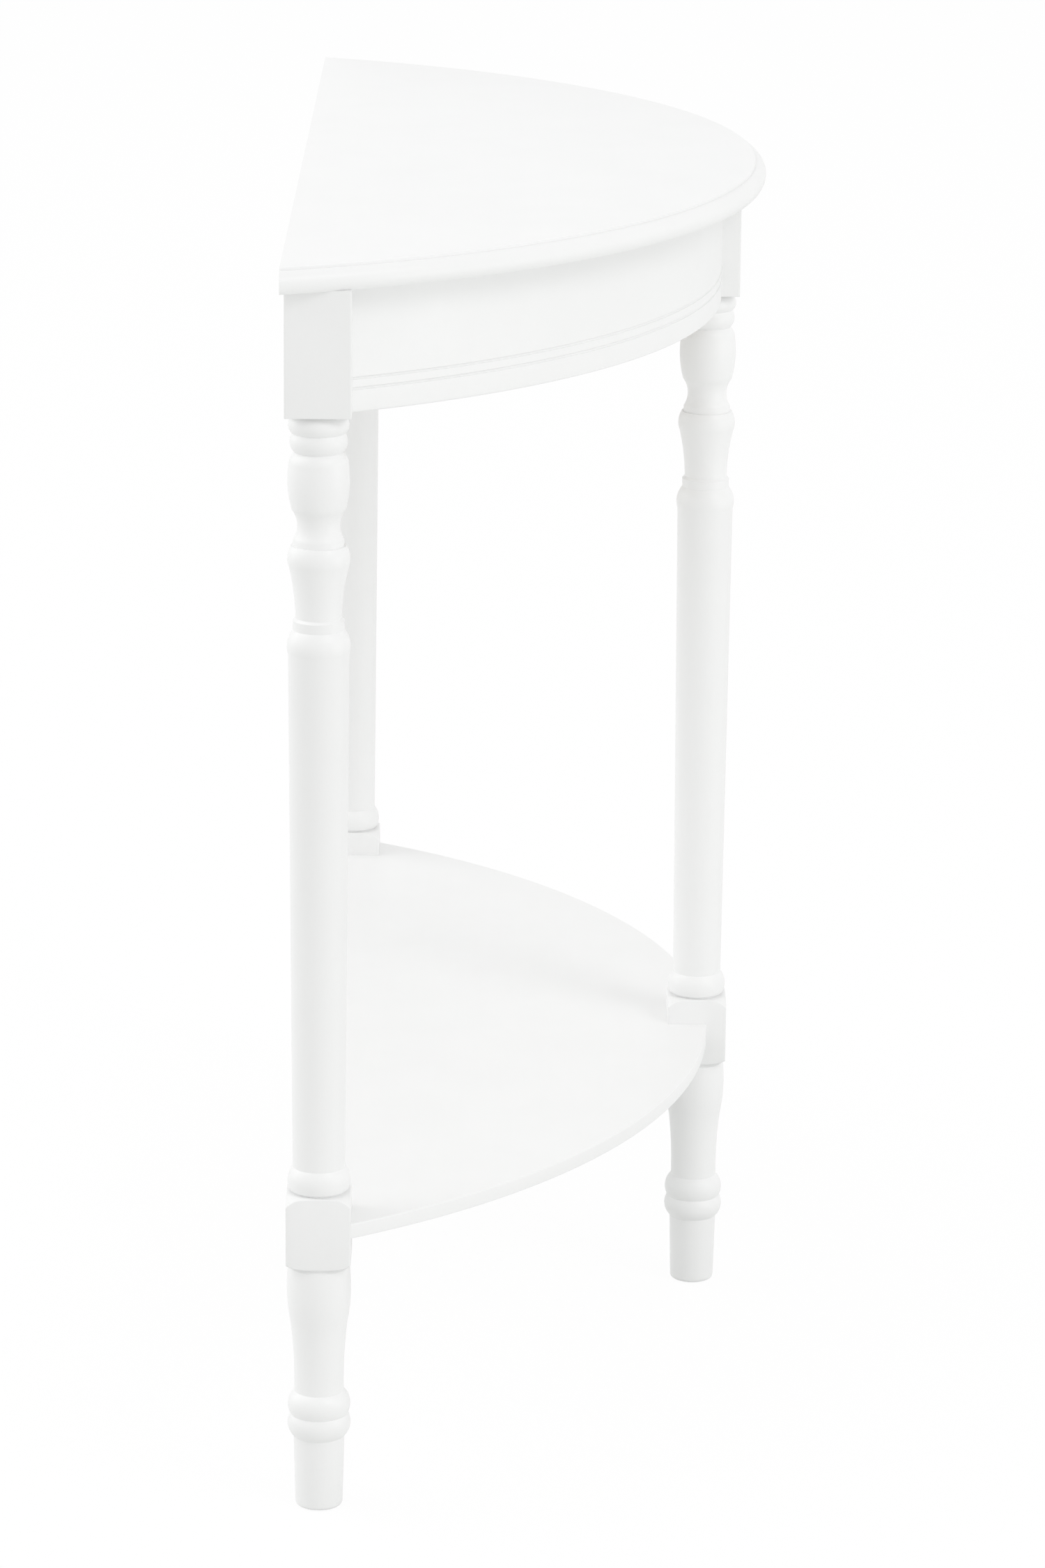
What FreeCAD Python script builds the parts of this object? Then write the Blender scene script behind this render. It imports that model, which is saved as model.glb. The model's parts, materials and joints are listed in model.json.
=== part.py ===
import FreeCAD, Part
import os
import Sketcher
from FreeCAD import Placement, Rotation, Vector

# Demilune table: half-round top, three turned legs, curved aprons and a low half-round shelf.
# Millimetres. +Z is up, +X runs along the straight back edge, the round front faces -Y.
# The origin lies on the floor under the middle of the top's bounding box.

# Driving sizes, one cell each
SIZES = {
    # Whole table
    "total_height": 750,
    "top_width": 860,
    "top_depth": 290,
    # Top board and its moulded edge
    "top_thick": 14.5,
    "edge_lip": 6.5,
    "quirk_drop": 1.6,
    "quirk_ledge": 0.9,
    "lip_height": 5.6,
    "lip_under": 2.5,
    # How far the top stands out over the leg blocks
    "side_overhang": 16,
    "front_overhang": 15.2,
    "back_overhang": 2,
    # Square blocks of the legs
    "block_side": 38,
    "block_arris": 0.7,
    "block_rise": 1.4,
    "shelf_block_height": 43.9,
    "high_shoulder": 9,
    "low_shoulder": 6,
    # Aprons and back rail
    "apron_height": 74.5,
    "apron_thick": 12,
    "apron_setback": 11.5,
    "apron_end_inset": 26.3,
    "apron_edge_round": 1.2,
    "groove_width": 1.8,
    "groove_deep": 1.1,
    "groove_low_rise": 13.8,
    "groove_pitch": 6,
    "rail_thick": 15,
    "rail_inset": 3,
    # Turned foot, from the floor up
    "glide_stand": 0.5,
    "peg_height": 44,
    "low_bead_height": 14,
    "high_bead_height": 14.5,
    "foot_cove_height": 42.5,
    "foot_vase_height": 38.5,
    "tip_radius": 14.1,
    "tip_round": 2.4,
    "peg_radius": 15.1,
    "low_bead_radius": 18.7,
    "foot_groove_radius": 17,
    "high_bead_radius": 18.5,
    "waist_radius": 14.7,
    "foot_cove_radius": 15,
    "foot_turn_radius": 16.8,
    "foot_vase_radius": 18.9,
    "foot_neck_radius": 18.2,
    # Bead above the shelf block, and the long shaft
    "base_bead_height": 15.1,
    "base_bead_radius": 18.4,
    "base_groove_radius": 17.3,
    "shaft_low_radius": 15.4,
    "shaft_high_radius": 17.6,
    # Turned upper part, from the apron block down
    "neck_gap": 1,
    "bead_one_height": 10.5,
    "bead_two_height": 10.9,
    "vase_shoulder_height": 7,
    "vase_height": 26.2,
    "cove_height": 17.8,
    "collar_land": 3.3,
    "collar_height": 12.2,
    "flare_height": 30,
    "fillet_slope": 1.5,
    "fillet_land": 5.5,
    "shaft_shoulder": 14.5,
    "neck_radius": 14,
    "bead_one_radius": 17.5,
    "groove_one_radius": 15.2,
    "bead_two_radius": 16.6,
    "groove_two_radius": 14,
    "vase_shoulder_radius": 16.5,
    "vase_top_radius": 17.2,
    "vase_radius": 17.7,
    "vase_low_radius": 15.5,
    "cove_radius": 12.3,
    "collar_top_radius": 14.7,
    "collar_edge_radius": 15.9,
    "collar_radius": 18,
    "collar_low_radius": 17.2,
    "flare_radius": 14.4,
    "flare_low_radius": 13.4,
    "fillet_radius": 14.9,
    "shaft_shoulder_radius": 18.2,
    # Shelf
    "shelf_thick": 9,
    "shelf_rise": 27.7,
    "shelf_setback": 12.3,
    "shelf_end_inset": 3.5,
    "shelf_ease": 1.2,
    # Glue blocks and cleat under the top
    "glue_block_tall": 32,
    "glue_block_thick": 18,
    "corner_block_long": 28,
    "apron_block_long": 50,
    "cleat_long": 480,
    "cleat_screw_end": 40,
    "cleat_top_end": 140,
    # Fasteners
    "fit_gap": 0.1,
    "apron_dowel_radius": 3,
    "apron_dowel_long": 30,
    "rail_dowel_radius": 4,
    "rail_dowel_long": 40,
    "pin_radius": 2.5,
    "pin_long": 24,
    "screw_radius": 1.9,
    "screw_head_radius": 3.8,
    "screw_head_tall": 2.4,
    "screw_bite": 12,
    "top_screw_cover": 7,
    "screw_edge": 5,
    "bracket_leaf": 20,
    "bracket_wide": 15,
    "bracket_thick": 2,
    "bracket_screw_radius": 1.6,
    "bracket_screw_head": 3,
    "bracket_screw_dome": 1.6,
    "bracket_screw_cover": 1.5,
    "bracket_screw_set": 12,
    # Nail-in glides
    "glide_radius": 8,
    "glide_thick": 2.5,
    "glide_pin_radius": 1.2,
    "glide_pin_long": 14,
}

doc = FreeCAD.newDocument("demilune_table")
sheet = doc.addObject("Spreadsheet::Sheet", "Sizes")
for row, (alias, size) in enumerate(SIZES.items(), start=1):
    sheet.set(f"A{row}", alias)
    sheet.set(f"B{row}", str(size))
    sheet.setAlias(f"B{row}", alias)
doc.recompute()


# Places that several pieces share, as expressions on the sheet
TOP_UNDER = "(Sizes.total_height - Sizes.top_thick)"
APRON_LOW = f"({TOP_UNDER} - Sizes.apron_height)"
BLOCK_LOW = f"({APRON_LOW} + Sizes.block_rise)"
BACK_EDGE = "(Sizes.top_depth / 2)"
FRONT_EDGE = "(-Sizes.top_depth / 2)"
HALF_BLOCK = "(Sizes.block_side / 2)"
LEG_X = f"(Sizes.top_width / 2 - Sizes.side_overhang - {HALF_BLOCK})"
BACK_LEG_Y = f"({BACK_EDGE} - Sizes.back_overhang - {HALF_BLOCK})"
FRONT_LEG_Y = f"({FRONT_EDGE} + Sizes.front_overhang + {HALF_BLOCK})"
INNER_FACE = f"({LEG_X} - {HALF_BLOCK})"
OUTER_FACE = f"({LEG_X} + {HALF_BLOCK})"
BACK_LEG_FRONT = f"({BACK_LEG_Y} - {HALF_BLOCK})"
BACK_LEG_BACK = f"({BACK_LEG_Y} + {HALF_BLOCK})"
FRONT_LEG_FRONT = f"({FRONT_LEG_Y} - {HALF_BLOCK})"
FRONT_LEG_BACK = f"({FRONT_LEG_Y} + {HALF_BLOCK})"
RAIL_FRONT = f"({BACK_LEG_BACK} - Sizes.rail_inset - Sizes.rail_thick)"
GLUE_LOW = f"({TOP_UNDER} - Sizes.glue_block_tall)"


def arc_radius(half_chord, rise):
    """Radius of the arc that spans twice the half chord and rises by the given height."""
    return f"(({half_chord}) ^ 2 + ({rise}) ^ 2) / (2 * ({rise}))"


# Round edges seen from above: each is one arc with its centre on the middle line, behind the table
TOP_RADIUS = f"({arc_radius('Sizes.top_width / 2', 'Sizes.top_depth')})"
TOP_CENTRE = f"({FRONT_EDGE} + {TOP_RADIUS})"
APRON_FRONT = f"({FRONT_LEG_FRONT} + Sizes.apron_setback)"
APRON_END = f"({OUTER_FACE} - Sizes.apron_end_inset)"
APRON_RADIUS = f"({arc_radius(APRON_END, f'{BACK_LEG_FRONT} - {APRON_FRONT}')})"
APRON_CENTRE = f"({APRON_FRONT} + {APRON_RADIUS})"
APRON_INSIDE = f"({APRON_RADIUS} - Sizes.apron_thick)"
APRON_MIDDLE = f"({APRON_RADIUS} - Sizes.apron_thick / 2)"
SHELF_FRONT = f"({FRONT_LEG_FRONT} + Sizes.shelf_setback)"
SHELF_END = f"({OUTER_FACE} - Sizes.shelf_end_inset)"
SHELF_RADIUS = f"({arc_radius(SHELF_END, f'{BACK_LEG_FRONT} - {SHELF_FRONT}')})"
SHELF_CENTRE = f"({SHELF_FRONT} + {SHELF_RADIUS})"


def heights(start, names, sign):
    """Heights reached by stacking the named sizes on the start, upwards or downwards."""
    reached = [start]
    for name in names:
        reached.append(f"({reached[-1]} {sign} Sizes.{name})")
    return reached


FOOT_NAMES = ["peg_height", "low_bead_height", "high_bead_height", "foot_cove_height", "foot_vase_height"]
FOOT_HEIGHTS = heights("Sizes.glide_stand", FOOT_NAMES, "+")
FOOT, PEG_TOP, FOOT_GROOVE, WAIST, FOOT_TURN, SHELF_BLOCK_LOW = FOOT_HEIGHTS
SHELF_BLOCK_TOP = f"({SHELF_BLOCK_LOW} + Sizes.shelf_block_height)"
SHAFT_LOW = f"({SHELF_BLOCK_TOP} + Sizes.base_bead_height)"
SHELF_TOP = f"({SHELF_BLOCK_LOW} + Sizes.shelf_rise)"
SHELF_LOW = f"({SHELF_TOP} - Sizes.shelf_thick)"
SHELF_MIDDLE = f"({SHELF_TOP} - Sizes.shelf_thick / 2)"
HEAD_NAMES = [
    "neck_gap", "bead_one_height", "bead_two_height", "vase_shoulder_height", "vase_height", "cove_height",
    "collar_land", "collar_height", "flare_height", "fillet_slope", "fillet_land", "shaft_shoulder",
]
(
    HEAD, NECK_LOW, GROOVE_ONE, GROOVE_TWO, VASE_TOP, VASE_LOW, COLLAR_TOP, COLLAR_EDGE, COLLAR_LOW,
    FLARE_LOW, FILLET_TOP, FILLET_LOW, SHAFT_HIGH,
) = heights(BLOCK_LOW, HEAD_NAMES, "-")


def number(expression):
    """Present value of an expression on the sheet."""
    return float(sheet.evalExpression(expression))


def bind(thing, **expressions):
    """Ties properties of a document object to expressions on the sheet."""
    for name, expression in expressions.items():
        thing.setExpression(name, expression)
    return thing


def place(thing, x, y, z, rotation=Rotation()):
    """Puts an object where the three expressions say, turned by a fixed rotation."""
    thing.Placement = Placement(Vector(), rotation)
    for axis, expression in zip("xyz", (x, y, z)):
        thing.setExpression(f"Placement.Base.{axis}", expression)
    return thing


ALONG = {
    "+x": Rotation(Vector(0, 1, 0), 90),
    "-x": Rotation(Vector(0, 1, 0), -90),
    "+y": Rotation(Vector(1, 0, 0), -90),
    "-y": Rotation(Vector(1, 0, 0), 90),
    "+z": Rotation(),
}


def box(name, length, width, height, x, y, z):
    """Box with its lowest corner at x, y, z."""
    made = bind(doc.addObject("Part::Box", name), Length=length, Width=width, Height=height)
    return place(made, x, y, z)


def combine(kind, name, base, tool):
    """Part boolean of two objects: Cut or Common."""
    made = doc.addObject(f"Part::{kind}", name)
    made.Base = base
    made.Tool = tool
    return made


def fuse(name, shapes):
    """One solid out of several overlapping or touching ones."""
    made = doc.addObject("Part::MultiFuse", name)
    made.Shapes = shapes
    return made


def group(name, things):
    """Several separate solids as one object."""
    made = doc.addObject("Part::Compound", name)
    made.Links = things
    return made


def copy_at(master, name, x, y, z, rotation=Rotation()):
    """Another one of the master, at its own place."""
    link = doc.addObject("App::Link", name)
    link.LinkedObject = master
    link.LinkTransform = True
    return place(link, x, y, z, rotation)


PIECES = {}


def piece(label, thing):
    """Registers a finished piece under the label that names its file."""
    thing.Label = label
    PIECES[label] = thing
    return thing


# Sketched outlines
def origin_plane(body, role):
    """One of the body's own origin planes."""
    return next(feature for feature in body.Origin.OriginFeatures if feature.Role == role)


def new_sketch(body, name, role):
    """Empty sketch on an origin plane of the body."""
    sketch = body.newObject("Sketcher::SketchObject", name)
    sketch.AttachmentSupport = [(origin_plane(body, role), "")]
    sketch.MapMode = "FlatFace"
    return sketch


def pin_point(sketch, geometry, end, across, up):
    """Holds a point of the sketch at two expressions; a plain zero puts it on the axis."""
    for kind, axis, expression in (("DistanceX", -2, across), ("DistanceY", -1, up)):
        if expression == "0":
            sketch.addConstraint(Sketcher.Constraint("PointOnObject", geometry, end, axis))
        else:
            index = sketch.addConstraint(Sketcher.Constraint(kind, geometry, end, number(expression)))
            sketch.setExpression(f"Constraints[{index}]", expression)


def outline(body, name, role, steps):
    """Closed outline of corners (across, up); a third entry ends an arc through that point."""
    sketch = new_sketch(body, name, role)
    corners = [Vector(number(step[0]), number(step[1]), 0) for step in steps]
    sides = []
    for index, step in enumerate(steps):
        start, end = corners[index - 1], corners[index]
        if len(step) == 3:
            through = Vector(number(step[2][0]), number(step[2][1]), 0)
            sides.append(sketch.addGeometry(Part.Arc(start, through, end)))
        else:
            sides.append(sketch.addGeometry(Part.LineSegment(start, end)))
    ends = []
    for index, side in enumerate(sides):
        first_is_start = (sketch.getPoint(side, 1) - corners[index - 1]).Length < 1e-6
        ends.append((1, 2) if first_is_start else (2, 1))
    for index, side in enumerate(sides):
        after = (index + 1) % len(sides)
        joint = (side, ends[index][1], sides[after], ends[after][0])
        sketch.addConstraint(Sketcher.Constraint("Coincident", *joint))
    for index, step in enumerate(steps):
        pin_point(sketch, sides[index], ends[index][1], step[0], step[1])
        if len(step) == 3:
            through = Vector(number(step[2][0]), number(step[2][1]), 0)
            mark = sketch.addGeometry(Part.Point(through), True)
            sketch.addConstraint(Sketcher.Constraint("PointOnObject", mark, 1, sides[index]))
            pin_point(sketch, mark, 1, step[2][0], step[2][1])
    return sketch


def turn(body, name, sketch):
    """Full turn of a sketch about the body's upright axis."""
    made = body.newObject("PartDesign::Revolution", name)
    made.Profile = sketch
    made.ReferenceAxis = (sketch, ["V_Axis"])
    made.Angle = 360
    return made


def new_body(name):
    return doc.addObject("PartDesign::Body", name)


def turned(name, steps):
    """Body of a full turn about the upright axis through the origin."""
    body = new_body(name)
    turn(body, f"{name}_turn", outline(body, f"{name}_section", "XZ_Plane", steps))
    return body


def half_ring(name, centre, steps):
    """Body of a half turn in front of the upright line through (0, centre)."""
    body = new_body(name)
    half = turn(body, f"{name}_turn", outline(body, f"{name}_section", "XZ_Plane", steps))
    half.Angle = 180
    half.Midplane = True
    return place(body, "0", centre, "0", Rotation(Vector(0, 0, 1), -90))


def middle(low, high):
    return f"(({low}) + ({high})) / 2"


ROUND_SHARE = "(1 - sqrt(0.5))"


# Top board: a moulded disc, cut off along the back edge
def make_top():
    rim, arris = TOP_RADIUS, f"({TOP_RADIUS} - Sizes.edge_lip)"
    ledge = "(Sizes.total_height - Sizes.quirk_drop)"
    lip = (rim, f"({TOP_UNDER} + Sizes.lip_height)")
    disc = half_ring("top_disc", TOP_CENTRE, [
        ("0", TOP_UNDER),
        (f"({rim} - Sizes.lip_under)", TOP_UNDER),
        (f"({arris} + Sizes.quirk_ledge)", ledge, lip),
        (arris, ledge),
        (arris, "Sizes.total_height"),
        ("0", "Sizes.total_height"),
    ])
    span = f"2 * {TOP_RADIUS}"
    keep = box("top_keep", span, span, "Sizes.total_height", f"-{TOP_RADIUS}", f"{BACK_EDGE} - {span}", "0")
    return combine("Common", "top_half", disc, keep)


# Aprons: one ring with two fine grooves round its outside, cut off square at the leg blocks
def groove_steps(rise):
    low = f"({APRON_LOW} + {rise} - Sizes.groove_width / 2)"
    high = f"({APRON_LOW} + {rise} + Sizes.groove_width / 2)"
    bottom = (f"({APRON_RADIUS} - Sizes.groove_deep)", f"({APRON_LOW} + {rise})")
    return [(APRON_RADIUS, low), (APRON_RADIUS, high, bottom)]


def make_apron_ring():
    ease = "Sizes.apron_edge_round"
    bend = (f"({APRON_RADIUS} - {ease} * {ROUND_SHARE})", f"({APRON_LOW} + {ease} * {ROUND_SHARE})")
    return half_ring("apron_ring", APRON_CENTRE, [
        (APRON_INSIDE, APRON_LOW),
        (f"({APRON_RADIUS} - {ease})", APRON_LOW),
        bend,
        (APRON_RADIUS, f"({APRON_LOW} + {ease})"),
        *groove_steps("Sizes.groove_low_rise"),
        *groove_steps("(Sizes.groove_low_rise + Sizes.groove_pitch)"),
        (APRON_RADIUS, TOP_UNDER),
        (APRON_INSIDE, TOP_UNDER),
    ])


def side_region(name, side, near, far):
    """Tall box on one side of the middle line, from near to far across, in front of the back legs."""
    reach = f"({far} - {near})"
    x = near if side > 0 else f"-{far}"
    y = f"({BACK_LEG_FRONT} - {APRON_RADIUS})"
    return box(name, reach, APRON_RADIUS, "Sizes.total_height", x, y, "0")


# Shelf: a disc with eased edges, cut off along the back and notched round the three blocks
def make_shelf():
    rim, ease = SHELF_RADIUS, "Sizes.shelf_ease"
    near, bent = f"({rim} - {ease})", f"({rim} - {ease} * {ROUND_SHARE})"
    disc = half_ring("shelf_disc", SHELF_CENTRE, [
        ("0", SHELF_LOW),
        (near, SHELF_LOW),
        (bent, f"({SHELF_LOW} + {ease} * {ROUND_SHARE})"),
        (rim, f"({SHELF_LOW} + {ease})"),
        (rim, f"({SHELF_TOP} - {ease})"),
        (bent, f"({SHELF_TOP} - {ease} * {ROUND_SHARE})"),
        (near, SHELF_TOP),
        ("0", SHELF_TOP),
    ])
    span = f"2 * {SHELF_RADIUS}"
    keep = box("shelf_keep", span, span, SHELF_TOP, f"-{SHELF_RADIUS}", f"{BACK_LEG_BACK} - {span}", "0")
    half = combine("Common", "shelf_half", disc, keep)
    gap = "Sizes.fit_gap"
    notches = []
    for name, x, y in LEG_PLACES:
        left, wide = f"({x} - {HALF_BLOCK} - {gap})", f"(Sizes.block_side + 2 * {gap})"
        if name != "front_leg":
            wide = rim
        if name == "left_back_leg":
            left = f"({x} + {HALF_BLOCK} + {gap} - {wide})"
        front = f"({y} - {HALF_BLOCK} - {gap})"
        notches.append(box(f"{name}_notch", wide, wide, "Sizes.total_height", left, front, "0"))
    return combine("Cut", "shelf_notched", half, fuse("shelf_notches", notches))


# Legs: one turned core, two square blocks with turned shoulders
LEG_PLACES = [
    ("left_back_leg", f"-{LEG_X}", BACK_LEG_Y),
    ("right_back_leg", LEG_X, BACK_LEG_Y),
    ("front_leg", "0", FRONT_LEG_Y),
]


def bulge(radius, height, through, start):
    """Arc from the last corner, at the start height, through a radius half way up."""
    return (f"Sizes.{radius}", height, (f"Sizes.{through}", middle(start, height)))


def turned_steps():
    """Half section of the turned leg from the foot up to inside the apron block."""
    inside = f"({HEAD} + Sizes.apron_height / 2)"
    tip = "(Sizes.tip_radius - Sizes.tip_round)"
    cut = f"Sizes.tip_round * {ROUND_SHARE}"
    bend = (f"(Sizes.tip_radius - {cut})", f"({FOOT} + {cut})")
    return [
        ("0", FOOT),
        (tip, FOOT),
        ("Sizes.tip_radius", f"({FOOT} + Sizes.tip_round)", bend),
        ("Sizes.peg_radius", PEG_TOP),
        bulge("foot_groove_radius", FOOT_GROOVE, "low_bead_radius", PEG_TOP),
        bulge("waist_radius", WAIST, "high_bead_radius", FOOT_GROOVE),
        bulge("foot_turn_radius", FOOT_TURN, "foot_cove_radius", WAIST),
        bulge("foot_neck_radius", SHELF_BLOCK_LOW, "foot_vase_radius", FOOT_TURN),
        ("Sizes.base_groove_radius", SHELF_BLOCK_TOP),
        bulge("shaft_low_radius", SHAFT_LOW, "base_bead_radius", SHELF_BLOCK_TOP),
        ("Sizes.shaft_high_radius", SHAFT_HIGH),
        bulge("fillet_radius", FILLET_LOW, "shaft_shoulder_radius", SHAFT_HIGH),
        ("Sizes.fillet_radius", FILLET_TOP),
        ("Sizes.flare_low_radius", FLARE_LOW),
        bulge("collar_low_radius", COLLAR_LOW, "flare_radius", FLARE_LOW),
        bulge("collar_edge_radius", COLLAR_EDGE, "collar_radius", COLLAR_LOW),
        ("Sizes.collar_top_radius", COLLAR_EDGE),
        ("Sizes.collar_top_radius", COLLAR_TOP),
        bulge("vase_low_radius", VASE_LOW, "cove_radius", COLLAR_TOP),
        bulge("vase_top_radius", VASE_TOP, "vase_radius", VASE_LOW),
        bulge("groove_two_radius", GROOVE_TWO, "vase_shoulder_radius", VASE_TOP),
        bulge("groove_one_radius", GROOVE_ONE, "bead_two_radius", GROOVE_TWO),
        bulge("neck_radius", NECK_LOW, "bead_one_radius", GROOVE_ONE),
        ("Sizes.neck_radius", inside),
        ("0", inside),
    ]


def square_block(name, low, tall):
    """Square leg block with eased upright corners, standing on the given height."""
    made = box(name, "Sizes.block_side", "Sizes.block_side", tall, f"-{HALF_BLOCK}", f"-{HALF_BLOCK}", low)
    doc.recompute()
    eased = doc.addObject("Part::Fillet", f"{name}_eased")
    eased.Base = made
    upright = [i for i, edge in enumerate(made.Shape.Edges, start=1) if abs(edge.tangentAt(0).z) > 0.9]
    radius = number("Sizes.block_arris")
    eased.Edges = [(index, radius, radius) for index in upright]
    return eased


def shoulder_steps(edge, drop, sign):
    """Waste that the lathe takes off the block's corners: from the face out to beyond the corner."""
    corner = f"({HALF_BLOCK} * 1.5)"
    shoulder = f"({edge} {sign} Sizes.{drop})"
    beyond = f"({edge} {'+' if sign == '-' else '-'} Sizes.{drop})"
    halfway = (f"({HALF_BLOCK} * 1.34)", f"({edge} {sign} Sizes.{drop} * 0.35)")
    return [
        (HALF_BLOCK, beyond),
        (HALF_BLOCK, edge),
        (corner, shoulder, halfway),
        (corner, beyond),
    ]


def make_leg():
    """The leg at the origin, on its own axis."""
    core = turned("leg_core", turned_steps())
    high = square_block("apron_block", BLOCK_LOW, f"({TOP_UNDER} - {BLOCK_LOW})")
    low = square_block("shelf_block", SHELF_BLOCK_LOW, "Sizes.shelf_block_height")
    waste = fuse("shoulder_waste", [
        turned("high_waste", shoulder_steps(SHELF_BLOCK_TOP, "high_shoulder", "-")),
        turned("low_waste", shoulder_steps(SHELF_BLOCK_LOW, "low_shoulder", "+")),
    ])
    turned_block = combine("Cut", "shelf_block_turned", low, waste)
    return fuse("leg_blank", [core, high, turned_block])


# Fasteners: each kind has a solid and the hole that it needs
def rod(name, radius, length):
    """Round rod along its own upright axis, centred on its middle."""
    made = bind(doc.addObject("Part::Cylinder", name), Radius=radius, Height=length)
    return place(made, "0", "0", f"-({length}) / 2")


def rod_kind(name, radius, length):
    solid = rod(name, radius, length)
    return solid, rod(f"{name}_hole", f"{radius} + Sizes.fit_gap", length)


def screw_kind(name, length):
    """Countersunk wood screw: its head's face at the origin, its tip upwards."""
    made = []
    for suffix, gap in (("", "0"), ("_hole", "Sizes.fit_gap")):
        head = doc.addObject("Part::Cone", f"{name}_head{suffix}")
        bind(head, Radius1=f"Sizes.screw_head_radius + {gap}", Radius2=f"Sizes.screw_radius + {gap}")
        bind(head, Height="Sizes.screw_head_tall")
        shank = doc.addObject("Part::Cylinder", f"{name}_shank{suffix}")
        bind(shank, Radius=f"Sizes.screw_radius + {gap}", Height=f"{length} - 2 * Sizes.screw_radius")
        tip = doc.addObject("Part::Cone", f"{name}_tip{suffix}")
        bind(tip, Radius1=f"Sizes.screw_radius + {gap}", Radius2="Sizes.screw_radius / 4")
        bind(tip, Height="2 * Sizes.screw_radius")
        place(tip, "0", "0", f"{length} - 2 * Sizes.screw_radius")
        made.append(fuse(f"{name}{suffix}", [head, shank, tip]))
    return made


def bracket_screw_kind():
    """Short round-headed screw: the head's seat at the origin, the tip upwards."""
    made = []
    for suffix, gap in (("", "0"), ("_hole", "Sizes.fit_gap")):
        head = doc.addObject("Part::Cylinder", f"bracket_screw_head{suffix}")
        bind(head, Radius=f"Sizes.bracket_screw_head + {gap}", Height="Sizes.bracket_screw_dome")
        place(head, "0", "0", "-Sizes.bracket_screw_dome")
        shank = doc.addObject("Part::Cylinder", f"bracket_screw_shank{suffix}")
        length = "Sizes.bracket_thick + Sizes.shelf_thick - Sizes.bracket_screw_cover"
        bind(shank, Radius=f"Sizes.bracket_screw_radius + {gap}", Height=length)
        made.append(fuse(f"bracket_screw{suffix}", [head, shank]))
    return made


class Fasteners:
    """One kind of fastener: its places give both the solids and the holes for them."""

    def __init__(self, kind):
        self.solid, self.hole = kind
        self.solids = []

    def add(self, name, x, y, z, rotation):
        """Places one and returns the hole that each piece it passes through needs."""
        self.solids.append(copy_at(self.solid, name, x, y, z, rotation))
        return copy_at(self.hole, f"{name}_bore", x, y, z, rotation)


SIDES = (("left", -1), ("right", 1))
HOLES = {}


def bore(hole, *labels):
    """Notes that a hole is drilled in the named pieces."""
    for label in labels:
        HOLES.setdefault(label, []).append(hole)


def drill(label, blank):
    """Finished piece: the blank with all its holes."""
    holes = HOLES.get(label, [])
    if holes:
        tool = holes[0] if len(holes) == 1 else fuse(f"{label}_holes", holes)
        blank = combine("Cut", f"{label}_drilled", blank, tool)
    return piece(label, blank)


def signed(side, expression):
    return expression if side > 0 else f"-{expression}"


# Dowels of the apron and rail joints, below the level of the glue blocks
def place_dowels():
    rail_dowels = Fasteners(rod_kind("rail_dowel", "Sizes.rail_dowel_radius", "Sizes.rail_dowel_long"))
    apron_master = rod_kind("apron_dowel", "Sizes.apron_dowel_radius", "Sizes.apron_dowel_long")
    free = f"({GLUE_LOW} - {APRON_LOW})"
    levels = (f"({APRON_LOW} + {free} / 4)", f"({GLUE_LOW} - {free} / 4)")
    back_rise = f"({APRON_CENTRE} - {BACK_LEG_FRONT})"
    back_x = f"sqrt({APRON_MIDDLE} ^ 2 - {back_rise} ^ 2)"
    front_y = f"({APRON_CENTRE} - sqrt({APRON_MIDDLE} ^ 2 - {HALF_BLOCK} ^ 2))"
    for word, side in SIDES:
        apron_dowels = Fasteners(apron_master)
        along_apron = Rotation(Vector(0, 0, 1), Vector(side * number(back_rise), number(back_x), 0))
        for index, level in enumerate(levels):
            back = (signed(side, back_x), BACK_LEG_FRONT, level, along_apron)
            bore(apron_dowels.add(f"{word}_back_dowel_{index}", *back), f"{word}_apron", f"{word}_back_leg")
            front = (signed(side, HALF_BLOCK), front_y, level, ALONG["+x"])
            bore(apron_dowels.add(f"{word}_front_dowel_{index}", *front), f"{word}_apron", "front_leg")
            rail = (signed(side, INNER_FACE), f"({RAIL_FRONT} + Sizes.rail_thick / 2)", level, ALONG["+x"])
            bore(rail_dowels.add(f"{word}_rail_dowel_{index}", *rail), "back_rail", f"{word}_back_leg")
        piece(f"{word}_apron_dowels", group(f"{word}_apron_dowel_set", apron_dowels.solids))
    piece("back_rail_dowels", group("rail_dowel_set", rail_dowels.solids))


# Glue blocks and cleat, with the screws that hold them and the top
BLOCK_ARC = f"({APRON_INSIDE} - Sizes.glue_block_thick / 2)"
APRON_BLOCK_X = f"({APRON_END} / 2)"
APRON_BLOCK_Y = f"({APRON_CENTRE} - sqrt({BLOCK_ARC} ^ 2 - {APRON_BLOCK_X} ^ 2))"
BLOCK_FRONT = f"({RAIL_FRONT} - Sizes.glue_block_thick)"
FRONT_BLOCK_END = f"({HALF_BLOCK} + Sizes.corner_block_long)"
FRONT_BLOCK_X = f"({HALF_BLOCK} + Sizes.corner_block_long / 2)"
FRONT_BLOCK_Y = f"({APRON_CENTRE} - sqrt({APRON_INSIDE} ^ 2 - {FRONT_BLOCK_END} ^ 2))"


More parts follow.
